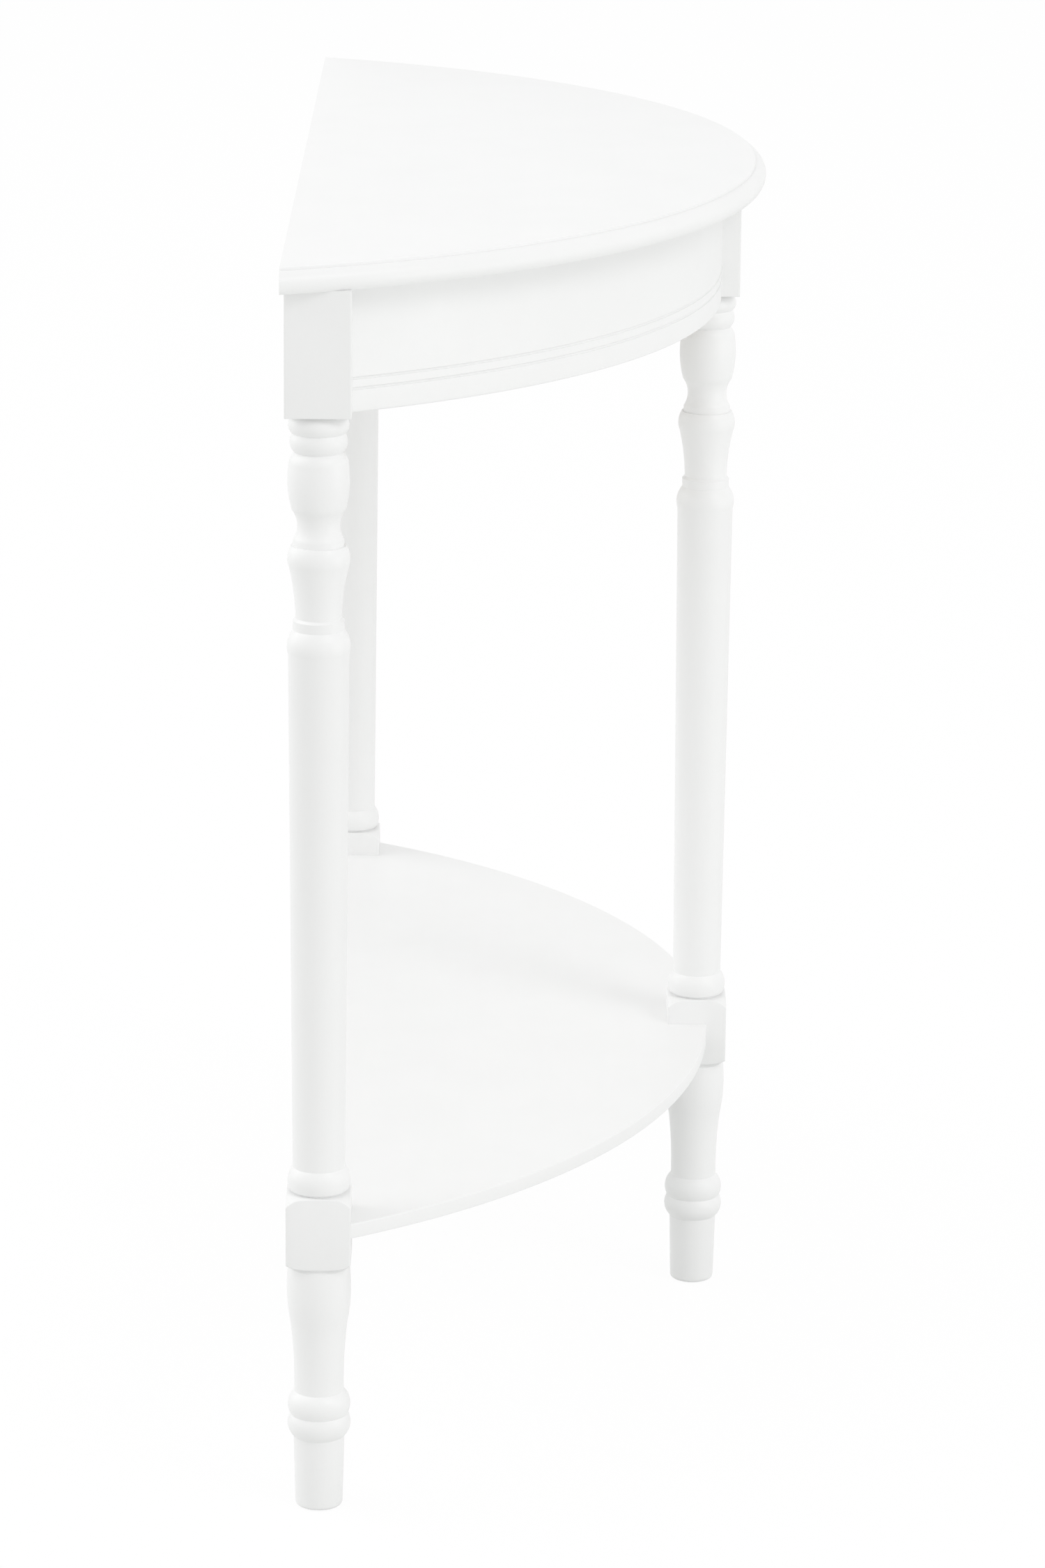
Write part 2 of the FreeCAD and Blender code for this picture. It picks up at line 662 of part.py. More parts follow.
def glue_blocks():
    """Blanks of the blocks and the cleat, by label."""
    tall = "Sizes.glue_block_tall"
    inner = f"({APRON_INSIDE} - Sizes.glue_block_thick)"
    section = [(inner, GLUE_LOW), (APRON_INSIDE, GLUE_LOW), (APRON_INSIDE, TOP_UNDER), (inner, TOP_UNDER)]
    blanks = {}
    for word, side in SIDES:
        long = "Sizes.corner_block_long"
        start = f"({INNER_FACE} - {long})" if side > 0 else f"-{INNER_FACE}"
        corner = f"{word}_corner_block"
        deep = "Sizes.glue_block_thick"
        blanks[corner] = box(f"{corner}_blank", long, deep, tall, start, BLOCK_FRONT, GLUE_LOW)
        low = f"({APRON_BLOCK_X} - Sizes.apron_block_long / 2)"
        high = f"({APRON_BLOCK_X} + Sizes.apron_block_long / 2)"
        for label, near, far in (("front_block", HALF_BLOCK, FRONT_BLOCK_END), ("apron_block", low, high)):
            name = f"{word}_{label}"
            region = side_region(f"{name}_region", side, near, far)
            blank_ring = half_ring(f"{name}_ring", APRON_CENTRE, section)
            blanks[name] = combine("Common", f"{name}_blank", blank_ring, region)
    cleat = ("Sizes.cleat_long", "Sizes.glue_block_thick", tall)
    blanks["back_cleat"] = box("cleat_blank", *cleat, "-Sizes.cleat_long / 2", BLOCK_FRONT, GLUE_LOW)
    return blanks


def place_block_screws():
    corner_length = "(Sizes.corner_block_long + Sizes.screw_bite)"
    corner_screws = Fasteners(screw_kind("corner_screw", corner_length))
    rail_screws = Fasteners(screw_kind("rail_screw", "(Sizes.glue_block_thick + Sizes.screw_bite)"))
    top_length = "(Sizes.glue_block_tall + Sizes.top_thick - Sizes.top_screw_cover)"
    top_screws = Fasteners(screw_kind("top_screw", top_length))
    low = f"({GLUE_LOW} + Sizes.screw_edge)"
    half_way = f"({GLUE_LOW} + Sizes.glue_block_tall / 2)"
    for word, side in SIDES:
        outward = ALONG["+x"] if side > 0 else ALONG["-x"]
        inward = ALONG["-x"] if side > 0 else ALONG["+x"]
        corner_x = f"({INNER_FACE} - Sizes.corner_block_long)"
        spot = (signed(side, corner_x), f"({RAIL_FRONT} - Sizes.screw_edge)", low, outward)
        bore(corner_screws.add(f"{word}_corner_screw", *spot), f"{word}_corner_block", f"{word}_back_leg")
        spot = (signed(side, FRONT_BLOCK_END), f"({FRONT_BLOCK_Y} + Sizes.screw_edge)", low, inward)
        bore(corner_screws.add(f"{word}_front_screw", *spot), f"{word}_front_block", "front_leg")
        rail_x = f"({corner_x} + Sizes.screw_edge)"
        spot = (signed(side, rail_x), BLOCK_FRONT, half_way, ALONG["+y"])
        bore(rail_screws.add(f"{word}_rail_screw", *spot), f"{word}_corner_block", "back_rail")
        cleat_x = "(Sizes.cleat_long / 2 - Sizes.cleat_screw_end)"
        spot = (signed(side, cleat_x), BLOCK_FRONT, half_way, ALONG["+y"])
        bore(rail_screws.add(f"{word}_cleat_screw", *spot), "back_cleat", "back_rail")
        corner_top = (f"({INNER_FACE} - 2 * Sizes.screw_edge)", f"({BLOCK_FRONT} + Sizes.screw_edge)")
        front_top = (FRONT_BLOCK_X, f"({FRONT_BLOCK_Y} + Sizes.glue_block_thick - Sizes.screw_edge)")
        apron_top = (APRON_BLOCK_X, APRON_BLOCK_Y)
        cleat_top_x = "(Sizes.cleat_long / 2 - Sizes.cleat_top_end)"
        cleat_top = (cleat_top_x, f"({BLOCK_FRONT} + Sizes.glue_block_thick / 2)")
        spots = {
            f"{word}_corner_block": corner_top, f"{word}_front_block": front_top,
            f"{word}_apron_block": apron_top, "back_cleat": cleat_top,
        }
        for label, (x, y) in spots.items():
            spot = (signed(side, x), y, GLUE_LOW, ALONG["+z"])
            bore(top_screws.add(f"{word}_{label}_top_screw", *spot), label, "top_board")
    piece("corner_block_screws", group("corner_screw_set", corner_screws.solids))
    piece("rail_screws", group("rail_screw_set", rail_screws.solids))
    piece("top_screws", group("top_screw_set", top_screws.solids))


# Shelf pins, brackets and their screws.
# Each spot: the leg, the middle of the block's face and the way out of the face.
SHELF_SPOTS = [
    ("left", "left_back_leg", f"-{INNER_FACE}", BACK_LEG_Y, "+x", Rotation()),
    ("right", "right_back_leg", INNER_FACE, BACK_LEG_Y, "-x", Rotation(Vector(0, 0, 1), 180)),
    ("front", "front_leg", "0", FRONT_LEG_BACK, "+y", Rotation(Vector(0, 0, 1), 90)),
]
OPPOSITE = {"+x": "-x", "-x": "+x", "+y": "-y"}
PIN_SET = "(Sizes.bracket_wide / 2 + Sizes.pin_radius)"


def make_bracket():
    """Steel angle: one leaf on the face at x = 0, the other under the shelf, reaching along +X."""
    leaf, wide, thick = "Sizes.bracket_leaf", "Sizes.bracket_wide", "Sizes.bracket_thick"
    upright = box("bracket_upright", thick, wide, leaf, "0", f"-{wide} / 2", f"{SHELF_LOW} - {leaf}")
    level = box("bracket_level", leaf, wide, thick, "0", f"-{wide} / 2", f"{SHELF_LOW} - {thick}")
    return fuse("bracket_angle", [upright, level])


def place_shelf_fixings():
    pins = Fasteners(rod_kind("shelf_pin", "Sizes.pin_radius", "Sizes.pin_long"))
    screws = Fasteners(bracket_screw_kind())
    angle = make_bracket()
    drop = f"({SHELF_LOW} - Sizes.bracket_screw_set)"
    for word, leg, x, y, out, facing in SHELF_SPOTS:
        bracket = f"{word}_shelf_bracket"
        way = ALONG[out].multVec(Vector(0, 0, 1))
        for hand, name in ((-1, f"{word}_pin_a"), (1, f"{word}_pin_b")):
            pin_x, pin_y = f"{x} + {hand * way.y} * {PIN_SET}", f"{y} + {hand * way.x} * {PIN_SET}"
            bore(pins.add(name, pin_x, pin_y, SHELF_MIDDLE, ALONG[out]), leg, "shelf_board")
        thick_x, thick_y = f"{way.x} * Sizes.bracket_thick", f"{way.y} * Sizes.bracket_thick"
        spot = (f"{x} + {thick_x}", f"{y} + {thick_y}", drop, ALONG[OPPOSITE[out]])
        bore(screws.add(f"{word}_leg_screw", *spot), leg, bracket)
        set_x, set_y = f"{way.x} * Sizes.bracket_screw_set", f"{way.y} * Sizes.bracket_screw_set"
        spot = (f"{x} + {set_x}", f"{y} + {set_y}", f"{SHELF_LOW} - Sizes.bracket_thick", ALONG["+z"])
        bore(screws.add(f"{word}_shelf_screw", *spot), "shelf_board", bracket)
        drill(bracket, copy_at(angle, f"{bracket}_blank", x, y, "0", facing))
    piece("shelf_pins", group("shelf_pin_set", pins.solids))
    piece("shelf_bracket_screws", group("bracket_screw_set", screws.solids))


# Glides under the feet
def glide_shape(name, gap):
    pad = bind(doc.addObject("Part::Cylinder", f"{name}_pad"), Radius=f"Sizes.glide_radius + {gap}")
    bind(pad, Height=f"Sizes.glide_thick + {gap}")
    nail = bind(doc.addObject("Part::Cylinder", f"{name}_nail"), Radius=f"Sizes.glide_pin_radius + {gap}")
    bind(nail, Height="Sizes.glide_thick + Sizes.glide_pin_long")
    return fuse(name, [pad, nail])


def place_glides():
    solid, hole = glide_shape("glide", "0"), glide_shape("glide_hole", "Sizes.fit_gap")
    for leg, x, y in LEG_PLACES:
        word = leg.replace("_leg", "")
        piece(f"{word}_glide", copy_at(solid, f"{word}_glide_set", x, y, "0"))
        bore(copy_at(hole, f"{word}_glide_bore", x, y, "0"), leg)


def make_rail():
    long = f"2 * {INNER_FACE}"
    size = (long, "Sizes.rail_thick", "Sizes.apron_height")
    return box("back_rail_blank", *size, f"-{INNER_FACE}", RAIL_FRONT, APRON_LOW)


def build():
    """Makes every piece of the table."""
    place_dowels()
    place_block_screws()
    place_shelf_fixings()
    place_glides()
    drill("top_board", make_top())
    apron_ring = make_apron_ring()
    for word, side in SIDES:
        region = side_region(f"{word}_apron_region", side, HALF_BLOCK, f"({APRON_RADIUS} + {APRON_END})")
        drill(f"{word}_apron", combine("Common", f"{word}_apron_blank", apron_ring, region))
    drill("back_rail", make_rail())
    for label, blank in glue_blocks().items():
        drill(label, blank)
    leg = make_leg()
    for label, x, y in LEG_PLACES:
        drill(label, copy_at(leg, f"{label}_blank", x, y, "0"))
    drill("shelf_board", make_shelf())
    doc.recompute()


def check():
    """Stops if any object failed or any piece is empty or broken."""
    for thing in doc.Objects:
        if "Invalid" in thing.State or "Error" in thing.State:
            raise RuntimeError(f"{thing.Label} failed: {thing.State}")
    for label, thing in PIECES.items():
        shape = Part.getShape(thing)
        if shape.isNull() or not shape.isValid() or not shape.Solids:
            raise RuntimeError(f"{label} has no valid solid")


def write():
    """Writes each piece to its own file."""
    os.makedirs("parts", exist_ok=True)
    for label, thing in PIECES.items():
        Part.getShape(thing).exportStep(f"parts/{label}.step")


build()
check()
write()
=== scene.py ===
import json
import math

import bmesh
import bpy
from mathutils import Matrix, Vector


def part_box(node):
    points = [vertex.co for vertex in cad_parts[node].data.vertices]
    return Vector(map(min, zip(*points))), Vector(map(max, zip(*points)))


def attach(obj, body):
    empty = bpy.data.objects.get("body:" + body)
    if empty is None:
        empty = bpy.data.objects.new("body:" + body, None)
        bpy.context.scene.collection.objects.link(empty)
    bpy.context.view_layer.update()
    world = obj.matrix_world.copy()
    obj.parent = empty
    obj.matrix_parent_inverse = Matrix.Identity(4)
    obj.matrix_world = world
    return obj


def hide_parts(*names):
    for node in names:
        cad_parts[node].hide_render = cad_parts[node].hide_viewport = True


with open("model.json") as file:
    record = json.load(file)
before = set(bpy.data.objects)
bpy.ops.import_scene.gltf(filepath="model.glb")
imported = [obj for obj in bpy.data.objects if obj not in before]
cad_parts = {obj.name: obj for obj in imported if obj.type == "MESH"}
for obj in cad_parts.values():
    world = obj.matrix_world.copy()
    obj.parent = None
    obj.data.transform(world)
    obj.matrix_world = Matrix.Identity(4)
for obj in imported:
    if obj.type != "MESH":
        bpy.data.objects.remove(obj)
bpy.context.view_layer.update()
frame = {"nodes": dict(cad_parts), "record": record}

bl_info = {
    "name": "Demilune Table",
    "version": (1, 0, 0),
    "blender": (4, 5, 0),
    "location": "3D View > Sidebar > Demilune Table",
    "description": "White half-round hall table on turned legs, with finishes and a plain stage",
    "category": "Object",
}

BODY = "root"

# Fineness of the meshes
TURN_STEPS = 96
ARC_STEPS = 10
ROUND_STEPS = 4
TIP_STEPS = 6
GROOVE_STEPS = 8
LEAST_SWEEP_STEPS = 8
RIM_STEP = math.radians(0.75)
BLOCK_CELLS = 24
EDGE_SEGMENTS = 3
SHELF_SEGMENTS = 5

# How steeply the lathe's shoulders fall off towards a block's corners
SHOULDER_POWER = 2.6

# An apron's sweep starts at a share of its first angle and runs on past its last one, in radians
APRON_START = 0.5
APRON_SPARE = 0.06

# Angles past which two faces meet in an edge
SMOOTH_ANGLE = math.radians(32)
BLOCK_CORNER = math.radians(50)
SHELF_CORNER = math.radians(60)

# Distances that count as none, in metres
TOUCH_GAP = 1e-5
MERGE_GAP = 1e-6
CUT_GAP = 1e-7

# Noises of the finishes: what all share, then the scale and detail of each
NOISE_ROUGHNESS = 0.55
NOISE_RANGE = (0.3, 0.7)
GRAIN_NOISE = (90.0, 3.0)
CLOUD_NOISE = (22.0, 2.0)
PEEL_NOISE = (620.0, 2.0)
RING_NOISE = (1.0, 3.0)
PORE_NOISE = (7.0, 2.0)

# Paint film: stretch of its grain, and what each noise adds to shade, roughness and height
GRAIN_ALONG = {"x": (0.06, 1.0, 1.0), "z": (1.0, 1.0, 0.06)}
CLOUD_SHADE, GRAIN_SHADE = (0.0, 0.30), (0.0, 0.22)
CLOUD_ROUGHNESS, PEEL_ROUGHNESS = (0.38, 0.44), (-0.02, 0.02)
PEEL_HEIGHT, GRAIN_HEIGHT = (0.0, 0.6), (0.0, 0.4)

# The same for bare wood
WOOD_STRETCH = (12.0, 160.0, 160.0)
RING_BANDS = 6.0
PORE_SHADE = (0.6, 1.0)
PORE_ROUGHNESS = (0.62, 0.78)
PORE_HEIGHT = 0.7

# Strength of the relief, its depth in metres, and how dark the darker shade of a finish is
BUMP_STRENGTH = 0.35
PAINT_RELIEF, WOOD_RELIEF, ZINC_RELIEF, NYLON_RELIEF = 0.00006, 0.0002, 0.00005, 0.0001
PAINT_WORN, ZINC_DULL, NYLON_SCUFFED = 0.975, 0.85, 0.85

# What the shader group of each finish puts out
FINISH_OUTPUTS = {
    "Colour": "NodeSocketColor", "Roughness": "NodeSocketFloat", "Height": "NodeSocketFloat",
}

# Stage: lamps have a name, a place, a width and the setting that holds their power
PHOTO_HEIGHT = 2250
SENSOR = 36.0
FLOOR_REACH = 30.0
WHITE = (1.0, 1.0, 1.0)
LIT_POINT = Vector((0.0, 0.0, 0.4))
LAMPS = (
    ("front_light", (-4.0, -4.0, 5.0), 3.0, "front_power"),
    ("fill_light", (-0.9, -1.5, 0.5), 0.9, "fill_power"),
    ("wall_light", (1.5, 6.0, 2.2), 4.0, "wall_power"),
    ("high_wall_light", (0.0, 4.5, 5.0), 6.0, "wall_high_power"),
)


def length(name, millimetres, description):
    """Length property with its default in millimetres."""
    return bpy.props.FloatProperty(
        name=name, description=description, default=millimetres / 1000, min=0.0, precision=4,
        unit="LENGTH",
    )


def share(name, value, description):
    """Property from nothing to one."""
    return bpy.props.FloatProperty(
        name=name, description=description, default=value, min=0.0, max=1.0, subtype="FACTOR"
    )


def power(name, watts, description):
    """Power property of a lamp."""
    return bpy.props.FloatProperty(
        name=name, description=description, default=watts, min=0.0, unit="POWER"
    )


def colour(name, value, description):
    """Linear colour property."""
    return bpy.props.FloatVectorProperty(
        name=name, description=description, default=value, size=3, min=0.0, max=1.0, subtype="COLOR"
    )


class BoardSizes(bpy.types.PropertyGroup):
    """Mouldings and eased edges of the boards and blocks."""

    edge_lip: length("Edge lip", 6.5, "How far the moulded lip stands out past the flat of the top")
    quirk_drop: length("Quirk drop", 1.6, "Step down from the flat of the top to the moulding")
    quirk_ledge: length("Quirk ledge", 0.9, "Flat at the foot of that step")
    lip_height: length("Lip height", 5.6, "Height of the lip's widest line above the underside")
    lip_under: length("Lip under", 2.5, "How far the underside draws in from the widest line")
    arris: length("Arris", 0.5, "Round on the sharp edges of the boards")
    block_arris: length("Block arris", 0.5, "Round on the edges of the square leg blocks")
    high_shoulder: length(
        "High shoulder", 5.3, "Drop of the shelf block's upper corners, left by the lathe"
    )
    low_shoulder: length(
        "Low shoulder", 3.3, "Rise of the shelf block's lower corners, left by the lathe"
    )
    block_rise: length(
        "Block rise", 1.4, "Height of the apron block's lower end above the apron's edge"
    )
    apron_thick: length("Apron thickness", 12.0, "Thickness of the curved aprons")
    apron_ease: length("Apron ease", 1.2, "Round on the aprons' lower outer edge")
    groove_width: length("Groove width", 1.8, "Width of each fine groove round the aprons")
    groove_deep: length("Groove depth", 1.1, "Depth of each fine groove round the aprons")
    groove_rise: length(
        "Groove rise", 13.8, "Height of the lower groove above the aprons' lower edge"
    )
    groove_pitch: length("Groove pitch", 6.0, "Distance between the two grooves")
    shelf_ease: length("Shelf ease", 1.2, "Round on the shelf's front edges")
    shelf_gap: length("Shelf gap", 0.02, "Clearance of the shelf's notches round the leg blocks")


class LegTurning(bpy.types.PropertyGroup):
    """Heights and radii of the turned leg: foot from the floor up, head from the apron down."""

    peg_height: length("Peg height", 44.0, "Straight foot below the beads")
    low_bead: length("Low foot bead", 14.0, "Height of the lower foot bead")
    high_bead: length("High foot bead", 14.5, "Height of the upper foot bead")
    foot_cove: length("Foot cove", 42.5, "Height of the hollow above the foot beads")
    foot_vase: length("Foot vase", 38.5, "Height of the swelling below the shelf block")
    tip_radius: length("Tip radius", 14.1, "Radius at the floor")
    tip_round: length("Tip round", 2.4, "Round on the foot's lower edge")
    peg_radius: length("Peg radius", 15.1, "Radius at the top of the peg")
    low_bead_radius: length("Low bead radius", 18.7, "Radius of the lower foot bead")
    foot_groove_radius: length("Foot groove radius", 17.0, "Radius between the two foot beads")
    high_bead_radius: length("High bead radius", 18.5, "Radius of the upper foot bead")
    waist_radius: length("Waist radius", 14.7, "Radius above the foot beads")
    foot_cove_radius: length("Foot cove radius", 15.0, "Radius half way up the hollow")
    foot_turn_radius: length(
        "Foot turn radius", 16.8, "Radius where the hollow turns into the swelling"
    )
    foot_vase_radius: length("Foot vase radius", 18.9, "Radius half way up the swelling")
    foot_neck_radius: length("Foot neck radius", 18.2, "Radius under the shelf block")
    shelf_block: length("Shelf block", 43.9, "Height of the square block at the shelf")
    block_groove: length(
        "Block groove", 1.4, "Depth and height of the fine groove at both ends of that block"
    )
    base_bead: length("Base bead", 15.1, "Height of the bead above the shelf block")
    base_bead_radius: length("Base bead radius", 18.4, "Radius of that bead")
    base_groove_radius: length("Base groove radius", 17.3, "Radius where the bead meets the block")
    shaft_low_radius: length("Shaft low radius", 15.4, "Radius at the foot of the long shaft")
    shaft_high_radius: length("Shaft high radius", 17.6, "Radius near the top of the long shaft")
    neck_gap: length("Neck gap", 1.0, "Narrow neck under the apron block")
    bead_one: length("First bead", 10.5, "Height of the bead under the neck")
    bead_two: length("Second bead", 10.9, "Height of the next bead")
    vase_shoulder: length("Vase shoulder", 7.0, "Height of the vase's shoulder")
    vase: length("Vase", 26.2, "Height of the vase's belly")
    cove: length("Cove", 17.8, "Height of the hollow under the vase")
    collar_land: length("Collar land", 3.3, "Height of the narrow band above the collar")
    collar: length("Collar", 12.2, "Height of the collar")
    flare: length("Flare", 30.0, "Height of the hollow under the collar")
    fillet_slope: length("Fillet slope", 1.5, "Small slope on top of the fillet ring")
    fillet_land: length("Fillet land", 5.5, "Height of the fillet ring")
    shaft_shoulder: length("Shaft shoulder", 14.5, "Round shoulder on top of the long shaft")
    neck_radius: length("Neck radius", 14.0, "Radius of the narrow neck")
    bead_one_radius: length("First bead radius", 17.5, "Radius of the bead under the neck")
    groove_one_radius: length("First groove radius", 15.2, "Radius between the two beads")
    bead_two_radius: length("Second bead radius", 16.6, "Radius of the next bead")
    groove_two_radius: length("Second groove radius", 14.0, "Radius on top of the vase")
    vase_shoulder_radius: length(
        "Vase shoulder radius", 16.5, "Radius half way up the vase's shoulder"
    )
    vase_top_radius: length("Vase top radius", 17.2, "Radius at the foot of the vase's shoulder")
    vase_radius: length("Vase radius", 17.7, "Radius half way up the belly")
    vase_low_radius: length("Vase low radius", 15.5, "Radius at the foot of the belly")
    cove_radius: length("Cove radius", 12.3, "Smallest radius of the hollow")
    collar_top_radius: length("Collar top radius", 14.7, "Radius on top of the collar")
    collar_edge_radius: length("Collar edge radius", 15.9, "Radius at the collar's upper edge")
    collar_radius: length("Collar radius", 18.0, "Largest radius of the collar")
    collar_low_radius: length("Collar low radius", 17.2, "Radius at the collar's lower edge")
    flare_radius: length("Flare radius", 14.4, "Radius half way down the flare")
    flare_low_radius: length("Flare low radius", 13.4, "Radius at the foot of the flare")
    fillet_radius: length("Fillet radius", 14.9, "Radius of the fillet ring")
    shaft_shoulder_radius: length(
        "Shaft shoulder radius", 18.2, "Radius half way down the shaft's shoulder"
    )


class Finishes(bpy.types.PropertyGroup):
    """Colours of the finishes."""

    paint: colour("Paint", (0.930, 0.933, 0.930), "Satin white paint")
    wood: colour("Bare wood", (0.58, 0.41, 0.24), "Planed softwood of the hidden blocks")
    wood_dark: colour("Wood grain", (0.42, 0.27, 0.14), "Late wood in its grain")
    zinc: colour("Zinc", (0.60, 0.60, 0.58), "Zinc-plated steel")
    nylon: colour("Nylon", (0.74, 0.74, 0.70), "Glides under the feet")


class StageSettings(bpy.types.PropertyGroup):
    """Camera, floor and light."""

    eye: bpy.props.FloatVectorProperty(
        name="Eye", description="Place of the camera", default=(-3.5371, 0.0249, 1.3013), size=3,
        subtype="TRANSLATION", unit="LENGTH",
    )
    turn: bpy.props.FloatProperty(
        name="Turn", description="Heading of the view, from +X towards +Y",
        default=math.radians(-0.333), subtype="ANGLE",
    )
    tilt: bpy.props.FloatProperty(
        name="Tilt", description="Upward slope of the view", default=math.radians(-15.233),
        subtype="ANGLE",
    )
    roll: bpy.props.FloatProperty(
        name="Roll", description="Roll of the camera about its view", default=math.radians(0.54),
        subtype="ANGLE",
    )
    focal_pixels: bpy.props.FloatProperty(
        name="Focal length", description="Focal length in pixels of the full image",
        default=8113.7, min=1.0,
    )
    ambient: bpy.props.FloatProperty(
        name="Ambient", description="Light from all round", default=0.81, min=0.0
    )
    front_power: power("Front", 63.0, "Power of the high soft light in front of the table")
    fill_power: power("Fill", 2.6, "Power of the small low light near the front leg")
    wall_power: power("Wall side", 45.0, "Power of the low soft light behind the table")
    wall_high_power: power("High wall side", 68.0, "Power of the high soft light behind the table")
    floor_glow: share("Floor glow", 0.94, "Share of the floor's white that shadows don't reach")
    floor_paint: colour(
        "Floor", (0.79, 0.795, 0.785), "Colour of the floor where it lights the table"
    )


# Outlines
def arc(start, through, end, steps=ARC_STEPS):
    """Points after the start, up to the end, on the circle through the three points."""
    (ax, ay), (bx, by), (cx, cy) = start, through, end
    twice = 2 * (ax * (by - cy) + bx * (cy - ay) + cx * (ay - by))
    a2, b2, c2 = ax * ax + ay * ay, bx * bx + by * by, cx * cx + cy * cy
    mx = (a2 * (by - cy) + b2 * (cy - ay) + c2 * (ay - by)) / twice
    my = (a2 * (cx - bx) + b2 * (ax - cx) + c2 * (bx - ax)) / twice
    radius = math.hypot(ax - mx, ay - my)
    first = math.atan2(ay - my, ax - mx)
    sweep = (math.atan2(cy - my, cx - mx) - first) % math.tau
    halfway = (math.atan2(by - my, bx - mx) - first) % math.tau
    if halfway > sweep:
        sweep -= math.tau
    turns = [first + sweep * step / steps for step in range(1, steps)]
    return [(mx + radius * math.cos(a), my + radius * math.sin(a)) for a in turns] + [tuple(end)]


def bulge(start, radius, end):
    """Arc from start to end through the given radius at half height."""
    return arc(start, (radius, (start[1] + end[1]) / 2), end)


def rounded(corner_in, corner, corner_out, steps=ROUND_STEPS):
    """Quarter round that joins two square edges at a corner."""
    bend = 1 - math.sqrt(0.5)
    middle = [corner[i] + (corner_in[i] + corner_out[i] - 2 * corner[i]) * bend for i in (0, 1)]
    return [corner_in] + arc(corner_in, middle, corner_out, steps)


def stacked(start, steps):
    """Heights reached by adding the steps to the start one after another."""
    reached = [start]
    for step in steps:
        reached.append(reached[-1] + step)
    return reached


# Mesh helpers
def unique(items):
    """Each item once, in the order met."""
    return list(dict.fromkeys(items))


def polyline(bm, points, closed=False):
    """Vertices and edges along the points."""
    corners = [bm.verts.new(point) for point in points]
    pairs = list(zip(corners, corners[1:]))
    if closed:
        pairs.append((corners[-1], corners[0]))
    return corners + [bm.edges.new(pair) for pair in pairs]


def lathe(bm, outline, x, y):
    """Full turn of an outline of (radius, height) about the upright line through x, y."""
    line = polyline(bm, [(x + radius, y, height) for radius, height in outline])
    bmesh.ops.spin(
        bm, geom=line, cent=(x, y, 0), axis=(0, 0, 1), angle=math.tau, steps=TURN_STEPS,
        use_merge=True,
    )


def sweep_board(bm, section, centre_y, first, last):
    """Turn of a section (radius, height) about (0, centre), between two angles off the front."""
    line = polyline(
        bm,
        [
            (radius * math.sin(first), centre_y - radius * math.cos(first), height)
            for radius, height in section
        ],
        closed=True,
    )
    steps = max(LEAST_SWEEP_STEPS, round((last - first) / RIM_STEP))
    bmesh.ops.spin(
        bm, geom=line, cent=(0, centre_y, 0), axis=(0, 0, 1), angle=last - first, steps=steps
    )


def split(bm, point, across, **settings):
    """Splits all that the mesh holds along a plane."""
    everything = bm.verts[:] + bm.edges[:] + bm.faces[:]
    return bmesh.ops.bisect_plane(
        bm, geom=everything, plane_co=point, plane_no=across, **settings
    )


def trim(bm, point, outward):
    """Cuts away what lies beyond a plane and closes the cut."""
    cut = split(bm, point, outward, dist=CUT_GAP, clear_outer=True)
    edges = [item for item in cut["geom_cut"] if isinstance(item, bmesh.types.BMEdge)]
    if edges:
        bmesh.ops.edgeloop_fill(bm, edges=edges)


def bevel_edges(bm, edges, offset, segments=EDGE_SEGMENTS):
    """Rounds the given edges."""
    bmesh.ops.bevel(
        bm, geom=edges, offset=offset, offset_type="OFFSET", segments=segments, profile=0.5,
        affect="EDGES", material=-1, clamp_overlap=True,
    )


def box_with_eased_edges(bm, low, high, ease):
    """Box between two corners with all its edges rounded."""
    size = high - low
    place = Matrix.Translation((low + high) / 2) @ Matrix.Diagonal((*size, 1))
    made = bmesh.ops.create_cube(bm, size=1.0, matrix=place)
    edges = unique(edge for vertex in made["verts"] for edge in vertex.link_edges)
    bevel_edges(bm, edges, ease)


def finish_piece(bm, name, material, nodes):
    """Turns the mesh into a piece that rides with the table and stands for its CAD nodes."""
    bmesh.ops.remove_doubles(bm, verts=bm.verts[:], dist=MERGE_GAP)
    bmesh.ops.recalc_face_normals(bm, faces=bm.faces[:])
    mesh = bpy.data.meshes.new(name)
    bm.to_mesh(mesh)
    bm.free()
    if not mesh.polygons:
        raise RuntimeError(f"{name} came out empty")
    mesh.shade_smooth()
    mesh.set_sharp_from_angle(angle=SMOOTH_ANGLE)
    mesh.materials.append(material)
    piece = bpy.data.objects.new(name, mesh)
    bpy.context.scene.collection.objects.link(piece)
    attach(piece, BODY)
    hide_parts(*nodes)


def dress_node(node, material):
    """Gives a CAD node that keeps its mesh a finish of its own."""
    item = frame["nodes"][node]
    item.data.materials.clear()
    item.data.materials.append(material)


# Shader helpers
def add_node(tree, kind, **settings):
    """New node with its properties, and its inputs by name."""
    made = tree.nodes.new(kind)
    for key, value in settings.pop("inputs", {}).items():
        made.inputs[key].default_value = value
    for key, value in settings.items():
        setattr(made, key, value)
    return made


def noise(tree, coordinates, scale, detail):
    """Soft noise of a given scale."""
    made = add_node(
        tree, "ShaderNodeTexNoise",
        inputs={"Scale": scale, "Detail": detail, "Roughness": NOISE_ROUGHNESS},
    )
    tree.links.new(coordinates, made.inputs["Vector"])
    return made.outputs["Fac"]


def spread(tree, value, low, high):
    """The range that a noise mostly keeps to, spread out from low to high."""
    least, most = NOISE_RANGE
    made = add_node(
        tree, "ShaderNodeMapRange",
        inputs={"From Min": least, "From Max": most, "To Min": low, "To Max": high},
    )
    tree.links.new(value, made.inputs["Value"])
    return made.outputs["Result"]


